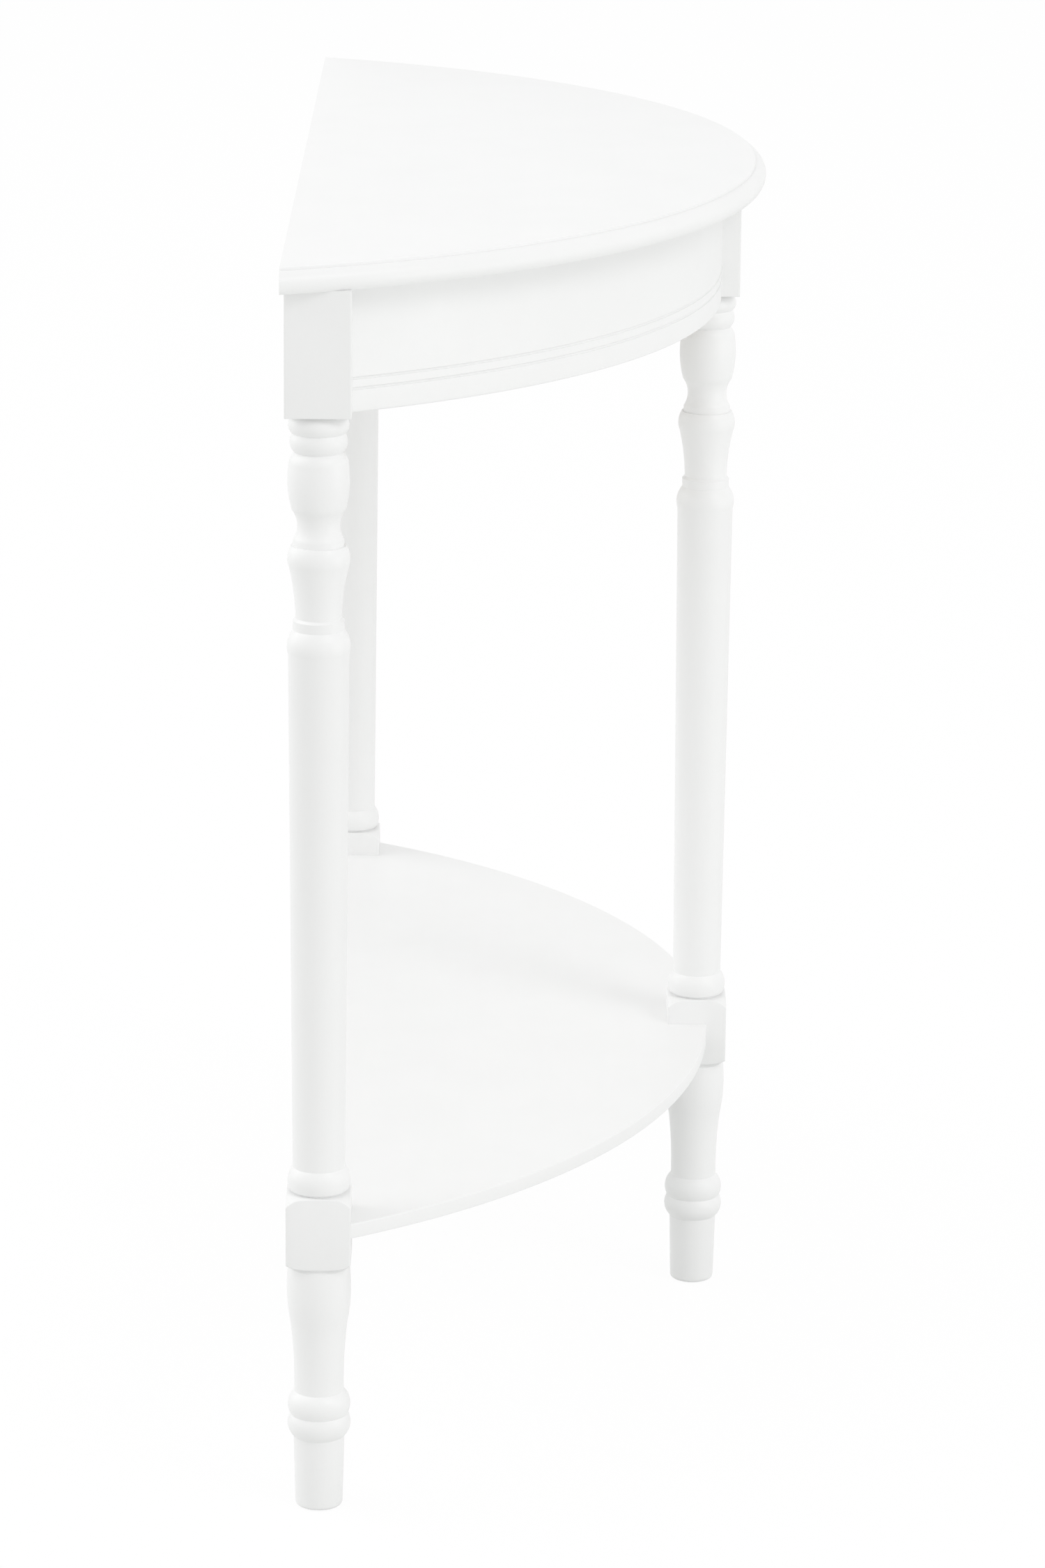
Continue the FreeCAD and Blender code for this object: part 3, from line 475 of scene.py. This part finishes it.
def math_node(tree, operation, first, second):
    """Sum, product or the like of two sockets or numbers."""
    made = add_node(tree, "ShaderNodeMath", operation=operation)
    for index, value in enumerate((first, second)):
        if isinstance(value, (int, float)):
            made.inputs[index].default_value = value
        else:
            tree.links.new(value, made.inputs[index])
    return made.outputs[0]


def mix_colour(tree, factor, first, second):
    """Colour between two others."""
    made = add_node(tree, "ShaderNodeMix", data_type="RGBA")
    for name, value in (("Factor", factor), ("A", first), ("B", second)):
        target = next(item for item in made.inputs if item.name == name and item.enabled)
        tree.links.new(value, target)
    return next(item for item in made.outputs if item.enabled)


def opaque(value, shade=1.0):
    """Colour with full alpha, darkened by a shade."""
    return (*(channel * shade for channel in value), 1.0)


def new_group(name, inputs):
    """Shader group of a finish, with its input and output nodes."""
    group = bpy.data.node_groups.new(name, "ShaderNodeTree")
    for label, kind, default in inputs:
        made = group.interface.new_socket(name=label, in_out="INPUT", socket_type=kind)
        if default is not None:
            made.default_value = default
    for label, kind in FINISH_OUTPUTS.items():
        group.interface.new_socket(name=label, in_out="OUTPUT", socket_type=kind)
    return group, group.nodes.new("NodeGroupInput"), group.nodes.new("NodeGroupOutput")


def paint_film_group():
    """Sprayed paint over wood: faint mottling, grain that shows through and a fine orange peel."""
    found = bpy.data.node_groups.get("paint_film")
    if found:
        return found
    group, entry, out = new_group(
        "paint_film",
        [
            ("Position", "NodeSocketVector", None),
            ("Grain Stretch", "NodeSocketVector", (1.0, 1.0, 1.0)),
            ("Paint", "NodeSocketColor", (0.9, 0.9, 0.9, 1.0)),
            ("Worn Paint", "NodeSocketColor", (0.8, 0.8, 0.8, 1.0)),
        ],
    )
    links = group.links
    mapping = add_node(group, "ShaderNodeMapping")
    links.new(entry.outputs["Position"], mapping.inputs["Vector"])
    links.new(entry.outputs["Grain Stretch"], mapping.inputs["Scale"])
    grain = noise(group, mapping.outputs["Vector"], *GRAIN_NOISE)
    clouds = noise(group, entry.outputs["Position"], *CLOUD_NOISE)
    peel = noise(group, entry.outputs["Position"], *PEEL_NOISE)

    def total(first, first_range, second, second_range):
        """Sum of two noises, each spread over its own range."""
        return math_node(
            group, "ADD", spread(group, first, *first_range), spread(group, second, *second_range)
        )

    shade = total(clouds, CLOUD_SHADE, grain, GRAIN_SHADE)
    tint = mix_colour(group, shade, entry.outputs["Paint"], entry.outputs["Worn Paint"])
    links.new(tint, out.inputs["Colour"])
    gloss = total(clouds, CLOUD_ROUGHNESS, peel, PEEL_ROUGHNESS)
    links.new(gloss, out.inputs["Roughness"])
    links.new(total(peel, PEEL_HEIGHT, grain, GRAIN_HEIGHT), out.inputs["Height"])
    return group


def wood_grain_group():
    """Straight softwood grain: pale early wood, darker late wood and fine pores."""
    found = bpy.data.node_groups.get("wood_grain")
    if found:
        return found
    group, entry, out = new_group(
        "wood_grain",
        [
            ("Position", "NodeSocketVector", None),
            ("Early Wood", "NodeSocketColor", (0.6, 0.4, 0.2, 1.0)),
            ("Late Wood", "NodeSocketColor", (0.4, 0.25, 0.1, 1.0)),
        ],
    )
    links = group.links
    mapping = add_node(group, "ShaderNodeMapping", inputs={"Scale": WOOD_STRETCH})
    links.new(entry.outputs["Position"], mapping.inputs["Vector"])
    rings = noise(group, mapping.outputs["Vector"], *RING_NOISE)
    pores = noise(group, mapping.outputs["Vector"], *PORE_NOISE)
    bands = math_node(group, "PINGPONG", math_node(group, "MULTIPLY", rings, RING_BANDS), 1.0)
    shade = math_node(group, "MULTIPLY", bands, spread(group, pores, *PORE_SHADE))
    tint = mix_colour(group, shade, entry.outputs["Early Wood"], entry.outputs["Late Wood"])
    links.new(tint, out.inputs["Colour"])
    links.new(spread(group, pores, *PORE_ROUGHNESS), out.inputs["Roughness"])
    pits = math_node(group, "MULTIPLY", pores, PORE_HEIGHT)
    links.new(math_node(group, "ADD", pits, bands), out.inputs["Height"])
    return group


def surface_material(name, group, inputs, relief, metallic=0.0):
    """Material whose colour, gloss and relief come from a group that reads Object coordinates."""
    found = bpy.data.materials.get(name)
    if found:
        return found
    material = bpy.data.materials.new(name)
    material.use_nodes = True
    tree = material.node_tree
    shader = tree.nodes["Principled BSDF"]
    shader.inputs["Metallic"].default_value = metallic
    place = add_node(tree, "ShaderNodeTexCoord")
    film = add_node(tree, "ShaderNodeGroup", node_tree=group)
    tree.links.new(place.outputs["Object"], film.inputs["Position"])
    for key, value in inputs.items():
        film.inputs[key].default_value = value
    bump = add_node(tree, "ShaderNodeBump", inputs={"Strength": BUMP_STRENGTH, "Distance": relief})
    tree.links.new(film.outputs["Height"], bump.inputs["Height"])
    tree.links.new(film.outputs["Colour"], shader.inputs["Base Color"])
    tree.links.new(film.outputs["Roughness"], shader.inputs["Roughness"])
    tree.links.new(bump.outputs["Normal"], shader.inputs["Normal"])
    return material


def white_paint(along):
    """Satin white paint with the grain running along x or z."""
    paint = bpy.context.scene.demilune_finishes.paint
    values = {
        "Paint": opaque(paint), "Worn Paint": opaque(paint, PAINT_WORN),
        "Grain Stretch": GRAIN_ALONG[along],
    }
    return surface_material(f"white_paint_{along}", paint_film_group(), values, PAINT_RELIEF)


def bare_wood():
    """Planed softwood of the hidden blocks and dowels."""
    finishes = bpy.context.scene.demilune_finishes
    values = {"Early Wood": opaque(finishes.wood), "Late Wood": opaque(finishes.wood_dark)}
    return surface_material("bare_wood", wood_grain_group(), values, WOOD_RELIEF)


def zinc_steel():
    """Zinc plating of the screws, pins and brackets."""
    zinc = bpy.context.scene.demilune_finishes.zinc
    values = {"Paint": opaque(zinc), "Worn Paint": opaque(zinc, ZINC_DULL)}
    return surface_material("zinc_steel", paint_film_group(), values, ZINC_RELIEF, metallic=1.0)


def glide_nylon():
    """Pale moulded nylon of the glides."""
    nylon = bpy.context.scene.demilune_finishes.nylon
    values = {"Paint": opaque(nylon), "Worn Paint": opaque(nylon, NYLON_SCUFFED)}
    return surface_material("glide_nylon", paint_film_group(), values, NYLON_RELIEF)


# Places that pieces share, read from the frame
def arc_through(near, far):
    """Centre and radius of the plan arc, centred on x = 0, through two points (x, y)."""
    (x0, y0), (x1, y1) = near, far
    centre = (x1 * x1 - x0 * x0 + y1 * y1 - y0 * y0) / (2 * (y1 - y0))
    return centre, math.hypot(x0, y0 - centre)


def leg_middle(node):
    """Axis of a leg, and half the side of its blocks."""
    low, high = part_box(node)
    return (low.x + high.x) / 2, (low.y + high.y) / 2, (high.x - low.x) / 2


class DEMILUNE_OT_top_board(bpy.types.Operator):
    """Half-round top with a moulded front edge and a square back edge"""

    bl_idname = "demilune.top_board"
    bl_label = "Top Board"

    def execute(self, context):
        sizes = context.scene.demilune_boards
        low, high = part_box("top_board")
        half, depth = (high.x - low.x) / 2, high.y - low.y
        rim = (half * half + depth * depth) / (2 * depth)
        centre = low.y + rim
        flat = rim - sizes.edge_lip
        ledge = high.z - sizes.quirk_drop
        start, end = (rim - sizes.lip_under, low.z), (flat + sizes.quirk_ledge, ledge)
        lip = arc(start, (rim, low.z + sizes.lip_height), end, 2 * ARC_STEPS)
        crest = rounded((flat, high.z - sizes.arris), (flat, high.z), (flat - sizes.arris, high.z))
        inner = centre - high.y - sizes.edge_lip
        section = [(inner, low.z), start, *lip, (flat, ledge), *crest, (inner, high.z)]
        reach = math.asin(min(1.0, half / rim)) + 2 * RIM_STEP
        bm = bmesh.new()
        sweep_board(bm, section, centre, -reach, reach)
        trim(bm, (0, high.y, 0), (0, 1, 0))
        finish_piece(bm, "table_top", white_paint("x"), ["top_board"])
        return {"FINISHED"}


class DEMILUNE_OT_aprons(bpy.types.Operator):
    """Two curved aprons with a pair of fine grooves near the lower edge"""

    bl_idname = "demilune.aprons"
    bl_label = "Aprons"

    def groove(self, sizes, rim, middle):
        """Small hollow across the outer face."""
        half = sizes.groove_width / 2
        start, end = (rim, middle - half), (rim, middle + half)
        return [start] + arc(start, (rim - sizes.groove_deep, middle), end, GROOVE_STEPS)

    def execute(self, context):
        sizes = context.scene.demilune_boards
        for word, side in (("left", -1), ("right", 1)):
            node = f"{word}_apron"
            low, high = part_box(node)
            near, far = sorted((abs(low.x), abs(high.x)))
            centre, rim = arc_through((near, low.y), (far, high.y))
            inside = rim - sizes.apron_thick
            ease = sizes.apron_ease
            first = low.z + sizes.groove_rise
            section = [
                (inside, low.z),
                *rounded((rim - ease, low.z), (rim, low.z), (rim, low.z + ease)),
                *self.groove(sizes, rim, first),
                *self.groove(sizes, rim, first + sizes.groove_pitch),
                (rim, high.z),
                (inside, high.z),
            ]
            start = side * APRON_START * math.asin(near / rim)
            end = side * (math.asin(far / rim) + APRON_SPARE)
            bm = bmesh.new()
            sweep_board(bm, section, centre, *sorted((start, end)))
            trim(bm, (side * near, 0, 0), (-side, 0, 0))
            trim(bm, (0, high.y, 0), (0, 1, 0))
            finish_piece(bm, f"apron_{word}", white_paint("x"), [node])
        return {"FINISHED"}


class DEMILUNE_OT_legs(bpy.types.Operator):
    """Three turned legs with square blocks at the apron and at the shelf"""

    bl_idname = "demilune.legs"
    bl_label = "Turned Legs"

    def foot_outline(self, t, floor):
        """Foot from the floor to the shelf block, which it meets at the last radius and height."""
        steps = (t.peg_height, t.low_bead, t.high_bead, t.foot_cove, t.foot_vase)
        _, peg, groove, waist, turn, block = stacked(floor, steps)
        tip, edge = t.tip_radius, t.tip_round
        corner = ((tip - edge, floor), (tip, floor), (tip, floor + edge))
        points = [(0, floor), *rounded(*corner, TIP_STEPS), (t.peg_radius, peg)]
        points += bulge(points[-1], t.low_bead_radius, (t.foot_groove_radius, groove))
        points += bulge(points[-1], t.high_bead_radius, (t.waist_radius, waist))
        points += bulge(points[-1], t.foot_cove_radius, (t.foot_turn_radius, turn))
        slot, core = t.block_groove, t.foot_neck_radius - t.block_groove
        points += bulge(points[-1], t.foot_vase_radius, (t.foot_neck_radius, block - 2 * slot))
        return points + [(core, block - slot), (core, block)]

    def shaft_outline(self, t, block_top, head):
        """Bead, shaft and upper turnings, from the shelf block to the apron block."""
        steps = (
            t.neck_gap, t.bead_one, t.bead_two, t.vase_shoulder, t.vase, t.cove, t.collar_land,
            t.collar, t.flare, t.fillet_slope, t.fillet_land, t.shaft_shoulder,
        )
        (
            _, neck, one, two, vase_top, vase_low, collar_top, collar_edge, collar_low,
            flare, fillet, land, shaft,
        ) = stacked(head, [-step for step in steps])
        slot, core = t.block_groove, t.base_groove_radius - t.block_groove
        points = [(core, block_top), (core, block_top + slot / 2)]
        points.append((t.base_groove_radius, block_top + slot))
        bead_top = (t.shaft_low_radius, block_top + t.base_bead)
        points += bulge(points[-1], t.base_bead_radius, bead_top)
        points.append((t.shaft_high_radius, shaft))
        points += bulge(points[-1], t.shaft_shoulder_radius, (t.fillet_radius, land))
        points += [(t.fillet_radius, fillet), (t.flare_low_radius, flare)]
        points += bulge(points[-1], t.flare_radius, (t.collar_low_radius, collar_low))
        points += bulge(points[-1], t.collar_radius, (t.collar_edge_radius, collar_edge))
        points += [(t.collar_top_radius, collar_edge), (t.collar_top_radius, collar_top)]
        points += bulge(points[-1], t.cove_radius, (t.vase_low_radius, vase_low))
        points += bulge(points[-1], t.vase_radius, (t.vase_top_radius, vase_top))
        points += bulge(points[-1], t.vase_shoulder_radius, (t.groove_two_radius, two))
        points += bulge(points[-1], t.bead_two_radius, (t.groove_one_radius, one))
        points += bulge(points[-1], t.bead_one_radius, (t.neck_radius, neck))
        return points + [(t.neck_radius, head)]

    def block(self, bm, x, y, half, low, high, rise, drop, arris):
        """Square block whose ends the lathe has rounded off towards the corners."""
        place = Matrix.Translation((x, y, low))
        grid = bmesh.ops.create_grid(
            bm, x_segments=BLOCK_CELLS, y_segments=BLOCK_CELLS, size=half, matrix=place
        )
        under = grid["verts"]
        faces = unique(face for vertex in under for face in vertex.link_faces)
        raised = bmesh.ops.extrude_face_region(bm, geom=faces, use_keep_orig=True)
        over = [item for item in raised["geom"] if isinstance(item, bmesh.types.BMVert)]
        bmesh.ops.translate(bm, verts=over, vec=(0, 0, high - low))
        corner = half * math.sqrt(2)
        for vertices, shift in ((under, rise), (over, -drop)):
            for vertex in vertices:
                reach = math.hypot(vertex.co.x - x, vertex.co.y - y)
                past = max(0.0, (reach - half) / (corner - half))
                vertex.co.z += shift * past ** SHOULDER_POWER
        edges = unique(edge for vertex in under + over for edge in vertex.link_edges)
        sharp = [edge for edge in edges if edge.calc_face_angle(0.0) > BLOCK_CORNER]
        # A square upper end lies against the top board and keeps its edges
        flush = set(over) if drop == 0 else set()
        bevel_edges(bm, [edge for edge in sharp if not flush.issuperset(edge.verts)], arris)

    def join_end(self, bm, x, y, radius, level):
        """Opens a block's flat end where the turned part meets it and fills the ring between."""

        def near(vertex):
            return math.hypot(vertex.co.x - x, vertex.co.y - y) < radius + TOUCH_GAP

        def on_level(item):
            return all(abs(vertex.co.z - level) < TOUCH_GAP for vertex in item.verts)

        waste = [face for face in bm.faces if on_level(face) and any(map(near, face.verts))]
        bmesh.ops.delete(bm, geom=waste, context="FACES")
        edges = [edge for edge in bm.edges if edge.is_boundary and on_level(edge)]
        filled = bmesh.ops.triangle_fill(bm, use_beauty=True, edges=edges, normal=(0, 0, 1))
        if not filled["geom"]:
            raise RuntimeError("a turned part doesn't meet its block")

    def execute(self, context):
        sizes = context.scene.demilune_boards
        turning = context.scene.demilune_turning
        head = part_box("left_apron")[0].z + sizes.block_rise
        for node in ("left_back_leg", "right_back_leg", "front_leg"):
            low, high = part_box(node)
            x, y, half = leg_middle(node)
            foot = self.foot_outline(turning, low.z)
            block_low = foot[-1][1]
            block_top = block_low + turning.shelf_block
            shaft = self.shaft_outline(turning, block_top, head)
            bm = bmesh.new()
            self.block(bm, x, y, half, head, high.z, 0.0, 0.0, sizes.block_arris)
            shoulders = (sizes.low_shoulder, sizes.high_shoulder)
            self.block(bm, x, y, half, block_low, block_top, *shoulders, sizes.block_arris)
            lathe(bm, foot, x, y)
            lathe(bm, shaft, x, y)
            for radius, level in (foot[-1], shaft[0], shaft[-1]):
                self.join_end(bm, x, y, radius, level)
            finish_piece(bm, f"turned_{node}", white_paint("z"), [node])
        return {"FINISHED"}


class DEMILUNE_OT_shelf(bpy.types.Operator):
    """Thin half-round shelf, notched round the leg blocks"""

    bl_idname = "demilune.shelf"
    bl_label = "Shelf"

    def execute(self, context):
        sizes = context.scene.demilune_boards
        low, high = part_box("shelf_board")
        gap = sizes.shelf_gap
        side_x, back_y, half = leg_middle("right_back_leg")
        _, front_y, _ = leg_middle("front_leg")
        shoulder = back_y - half - gap
        notch_x, inner_x, notch_y = half + gap, side_x - half - gap, front_y + half + gap
        centre, rim = arc_through((notch_x, low.y), (high.x, shoulder))
        bm = bmesh.new()
        count = round(math.tau / RIM_STEP)
        place = Matrix.Translation((0, centre, low.z))
        bmesh.ops.create_circle(bm, cap_ends=True, segments=count, radius=rim, matrix=place)
        split(bm, (0, high.y, 0), (0, 1, 0), clear_outer=True)
        lines = [((0, shoulder, 0), (0, 1, 0)), ((0, notch_y, 0), (0, 1, 0))]
        lines += [((x, 0, 0), (1, 0, 0)) for x in (-inner_x, -notch_x, notch_x, inner_x)]
        for point, across in lines:
            split(bm, point, across)
        waste = []
        for face in bm.faces:
            middle = face.calc_center_median()
            at_back = middle.y > shoulder and abs(middle.x) > inner_x
            at_front = middle.y < notch_y and abs(middle.x) < notch_x
            if at_back or at_front:
                waste.append(face)
        bmesh.ops.delete(bm, geom=waste, context="FACES")
        raised = bmesh.ops.extrude_face_region(bm, geom=bm.faces[:], use_keep_orig=True)
        over = [item for item in raised["geom"] if isinstance(item, bmesh.types.BMVert)]
        bmesh.ops.translate(bm, verts=over, vec=(0, 0, high.z - low.z))
        bmesh.ops.recalc_face_normals(bm, faces=bm.faces[:])

        def on_rim(vertex):
            return abs(math.hypot(vertex.co.x, vertex.co.y - centre) - rim) < TOUCH_GAP

        def at_rim(edge):
            first, second = edge.verts
            level = abs(first.co.z - second.co.z) < MERGE_GAP
            sharp = edge.calc_face_angle(0.0) >= SHELF_CORNER
            return level and sharp and on_rim(first) and on_rim(second)

        rim_edges = [edge for edge in bm.edges if at_rim(edge)]
        bevel_edges(bm, rim_edges, sizes.shelf_ease, SHELF_SEGMENTS)
        finish_piece(bm, "shelf", white_paint("x"), ["shelf_board"])
        return {"FINISHED"}


class DEMILUNE_OT_back_rail(bpy.types.Operator):
    """Straight rail between the back legs"""

    bl_idname = "demilune.back_rail"
    bl_label = "Back Rail"

    def execute(self, context):
        low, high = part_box("back_rail")
        bm = bmesh.new()
        box_with_eased_edges(bm, low, high, context.scene.demilune_boards.arris)
        finish_piece(bm, "rail", white_paint("x"), ["back_rail"])
        return {"FINISHED"}


class DEMILUNE_OT_fixings(bpy.types.Operator):
    """Glue blocks, cleat, dowels, screws, pins, brackets and glides"""

    bl_idname = "demilune.fixings"
    bl_label = "Fixings"

    def execute(self, context):
        finishes = {
            "bare_wood": bare_wood(), "zinc_steel": zinc_steel(), "glide_plastic": glide_nylon(),
        }
        for entry in frame["record"]["subparts"]:
            if entry["material_slot"] in finishes:
                dress_node(entry["node"], finishes[entry["material_slot"]])
        return {"FINISHED"}


class DEMILUNE_OT_stage(bpy.types.Operator):
    """Pale floor, soft light and the camera"""

    bl_idname = "demilune.stage"
    bl_label = "Stage"

    def joined(self, tree, kind, first, second, factor=None):
        """Node that adds two shaders, or mixes them by a factor."""
        made = add_node(tree, kind)
        *start, low, high = made.inputs
        tree.links.new(first.outputs[0], low)
        tree.links.new(second.outputs[0], high)
        if start:
            tree.links.new(factor, start[0])
        return made

    def floor_material(self, settings):
        """White floor that keeps a faint shadow, and lights the table with its own colour."""
        material = bpy.data.materials.new("stage_floor")
        material.use_nodes = True
        tree = material.node_tree
        tree.nodes.clear()
        seen = self.seen_ray(tree)
        paint, shade = opaque(settings.floor_paint), opaque(WHITE, 1.0 - settings.floor_glow)
        bounce = add_node(tree, "ShaderNodeBsdfDiffuse", inputs={"Color": paint})
        soft = add_node(tree, "ShaderNodeBsdfDiffuse", inputs={"Color": shade})
        glow = add_node(tree, "ShaderNodeEmission", inputs={"Strength": settings.floor_glow})
        shown = self.joined(tree, "ShaderNodeAddShader", soft, glow)
        front = self.joined(tree, "ShaderNodeMixShader", bounce, shown, seen)
        facing = add_node(tree, "ShaderNodeNewGeometry")
        clear = add_node(tree, "ShaderNodeBsdfTransparent")
        both = self.joined(tree, "ShaderNodeMixShader", front, clear, facing.outputs["Backfacing"])
        out = add_node(tree, "ShaderNodeOutputMaterial")
        tree.links.new(both.outputs[0], out.inputs["Surface"])
        return material

    def seen_ray(self, tree):
        """One for rays that the viewer sees: straight, mirrored or through glass."""
        rays = add_node(tree, "ShaderNodeLightPath").outputs
        bent = math_node(tree, "MAXIMUM", rays["Is Glossy Ray"], rays["Is Transmission Ray"])
        return math_node(tree, "MAXIMUM", rays["Is Camera Ray"], bent)

    def light_world(self, settings):
        """White surroundings for the viewer, a softer level of light for the table."""
        world = bpy.data.worlds.new("stage_world")
        world.use_nodes = True
        bpy.context.scene.world = world
        tree = world.node_tree
        background = tree.nodes["Background"]
        background.inputs["Color"].default_value = opaque(WHITE)
        extra = math_node(tree, "MULTIPLY", self.seen_ray(tree), 1.0 - settings.ambient)
        strength = math_node(tree, "ADD", extra, settings.ambient)
        tree.links.new(strength, background.inputs["Strength"])

    def soft_light(self, name, place, size, watts):
        """Large round lamp turned towards the middle of the table."""
        light = bpy.data.lights.new(name, "AREA")
        light.shape = "DISK"
        light.size = size
        light.energy = watts
        lamp = bpy.data.objects.new(name, light)
        lamp.location = place
        lamp.rotation_euler = (LIT_POINT - Vector(place)).to_track_quat("-Z", "Y").to_euler()
        bpy.context.scene.collection.objects.link(lamp)

    def set_camera(self, settings):
        """Camera at the photo's place, heading, tilt and roll."""
        tilt, turn = settings.tilt, settings.turn
        level = math.cos(tilt)
        ahead = Vector((level * math.cos(turn), level * math.sin(turn), math.sin(tilt)))
        right = Vector((math.sin(turn), -math.cos(turn), 0.0))
        up = right.cross(ahead)
        rolled = right * math.cos(settings.roll) + up * math.sin(settings.roll)
        raised = up * math.cos(settings.roll) - right * math.sin(settings.roll)
        data = bpy.data.cameras.new("camera")
        data.sensor_width = SENSOR
        data.lens = settings.focal_pixels * SENSOR / PHOTO_HEIGHT
        camera = bpy.data.objects.new("camera", data)
        bpy.context.scene.collection.objects.link(camera)
        facing = Matrix((rolled, raised, -ahead)).transposed().to_4x4()
        camera.matrix_world = Matrix.Translation(settings.eye) @ facing
        bpy.context.scene.camera = camera

    def execute(self, context):
        settings = context.scene.demilune_stage
        bm = bmesh.new()
        bmesh.ops.create_grid(bm, x_segments=1, y_segments=1, size=FLOOR_REACH)
        mesh = bpy.data.meshes.new("floor")
        bm.to_mesh(mesh)
        bm.free()
        mesh.materials.append(self.floor_material(settings))
        floor = bpy.data.objects.new("floor", mesh)
        context.scene.collection.objects.link(floor)
        self.light_world(settings)
        for name, place, size, setting in LAMPS:
            self.soft_light(name, place, size, getattr(settings, setting))
        self.set_camera(settings)
        context.scene.view_settings.view_transform = "Standard"
        return {"FINISHED"}


OPERATORS = (
    DEMILUNE_OT_top_board, DEMILUNE_OT_aprons, DEMILUNE_OT_legs, DEMILUNE_OT_shelf,
    DEMILUNE_OT_back_rail, DEMILUNE_OT_fixings, DEMILUNE_OT_stage,
)
GROUPS = {
    "demilune_boards": BoardSizes, "demilune_turning": LegTurning, "demilune_finishes": Finishes,
    "demilune_stage": StageSettings,
}


class DEMILUNE_PT_panel(bpy.types.Panel):
    """Lists the pieces of the table and their settings"""

    bl_idname = "DEMILUNE_PT_panel"
    bl_label = "Demilune Table"
    bl_space_type = "VIEW_3D"
    bl_region_type = "UI"
    bl_category = "Demilune Table"

    def draw(self, context):
        for operator in OPERATORS:
            self.layout.operator(operator.bl_idname)
        for name, kind in GROUPS.items():
            box = self.layout.box()
            for field in kind.__annotations__:
                box.prop(getattr(context.scene, name), field)


def register():
    """Adds the classes and puts their settings on the scene."""
    for kind in (*GROUPS.values(), *OPERATORS, DEMILUNE_PT_panel):
        bpy.utils.register_class(kind)
    for name, kind in GROUPS.items():
        setattr(bpy.types.Scene, name, bpy.props.PointerProperty(type=kind))


def unregister():
    """Takes the settings and the classes away again."""
    for name in GROUPS:
        delattr(bpy.types.Scene, name)
    for kind in reversed((*GROUPS.values(), *OPERATORS, DEMILUNE_PT_panel)):
        bpy.utils.unregister_class(kind)


def main():
    """Builds every piece in order."""
    register()
    for operator in OPERATORS:
        group, name = operator.bl_idname.split(".")
        getattr(getattr(bpy.ops, group), name)()


if __name__ == "__main__":
    main()
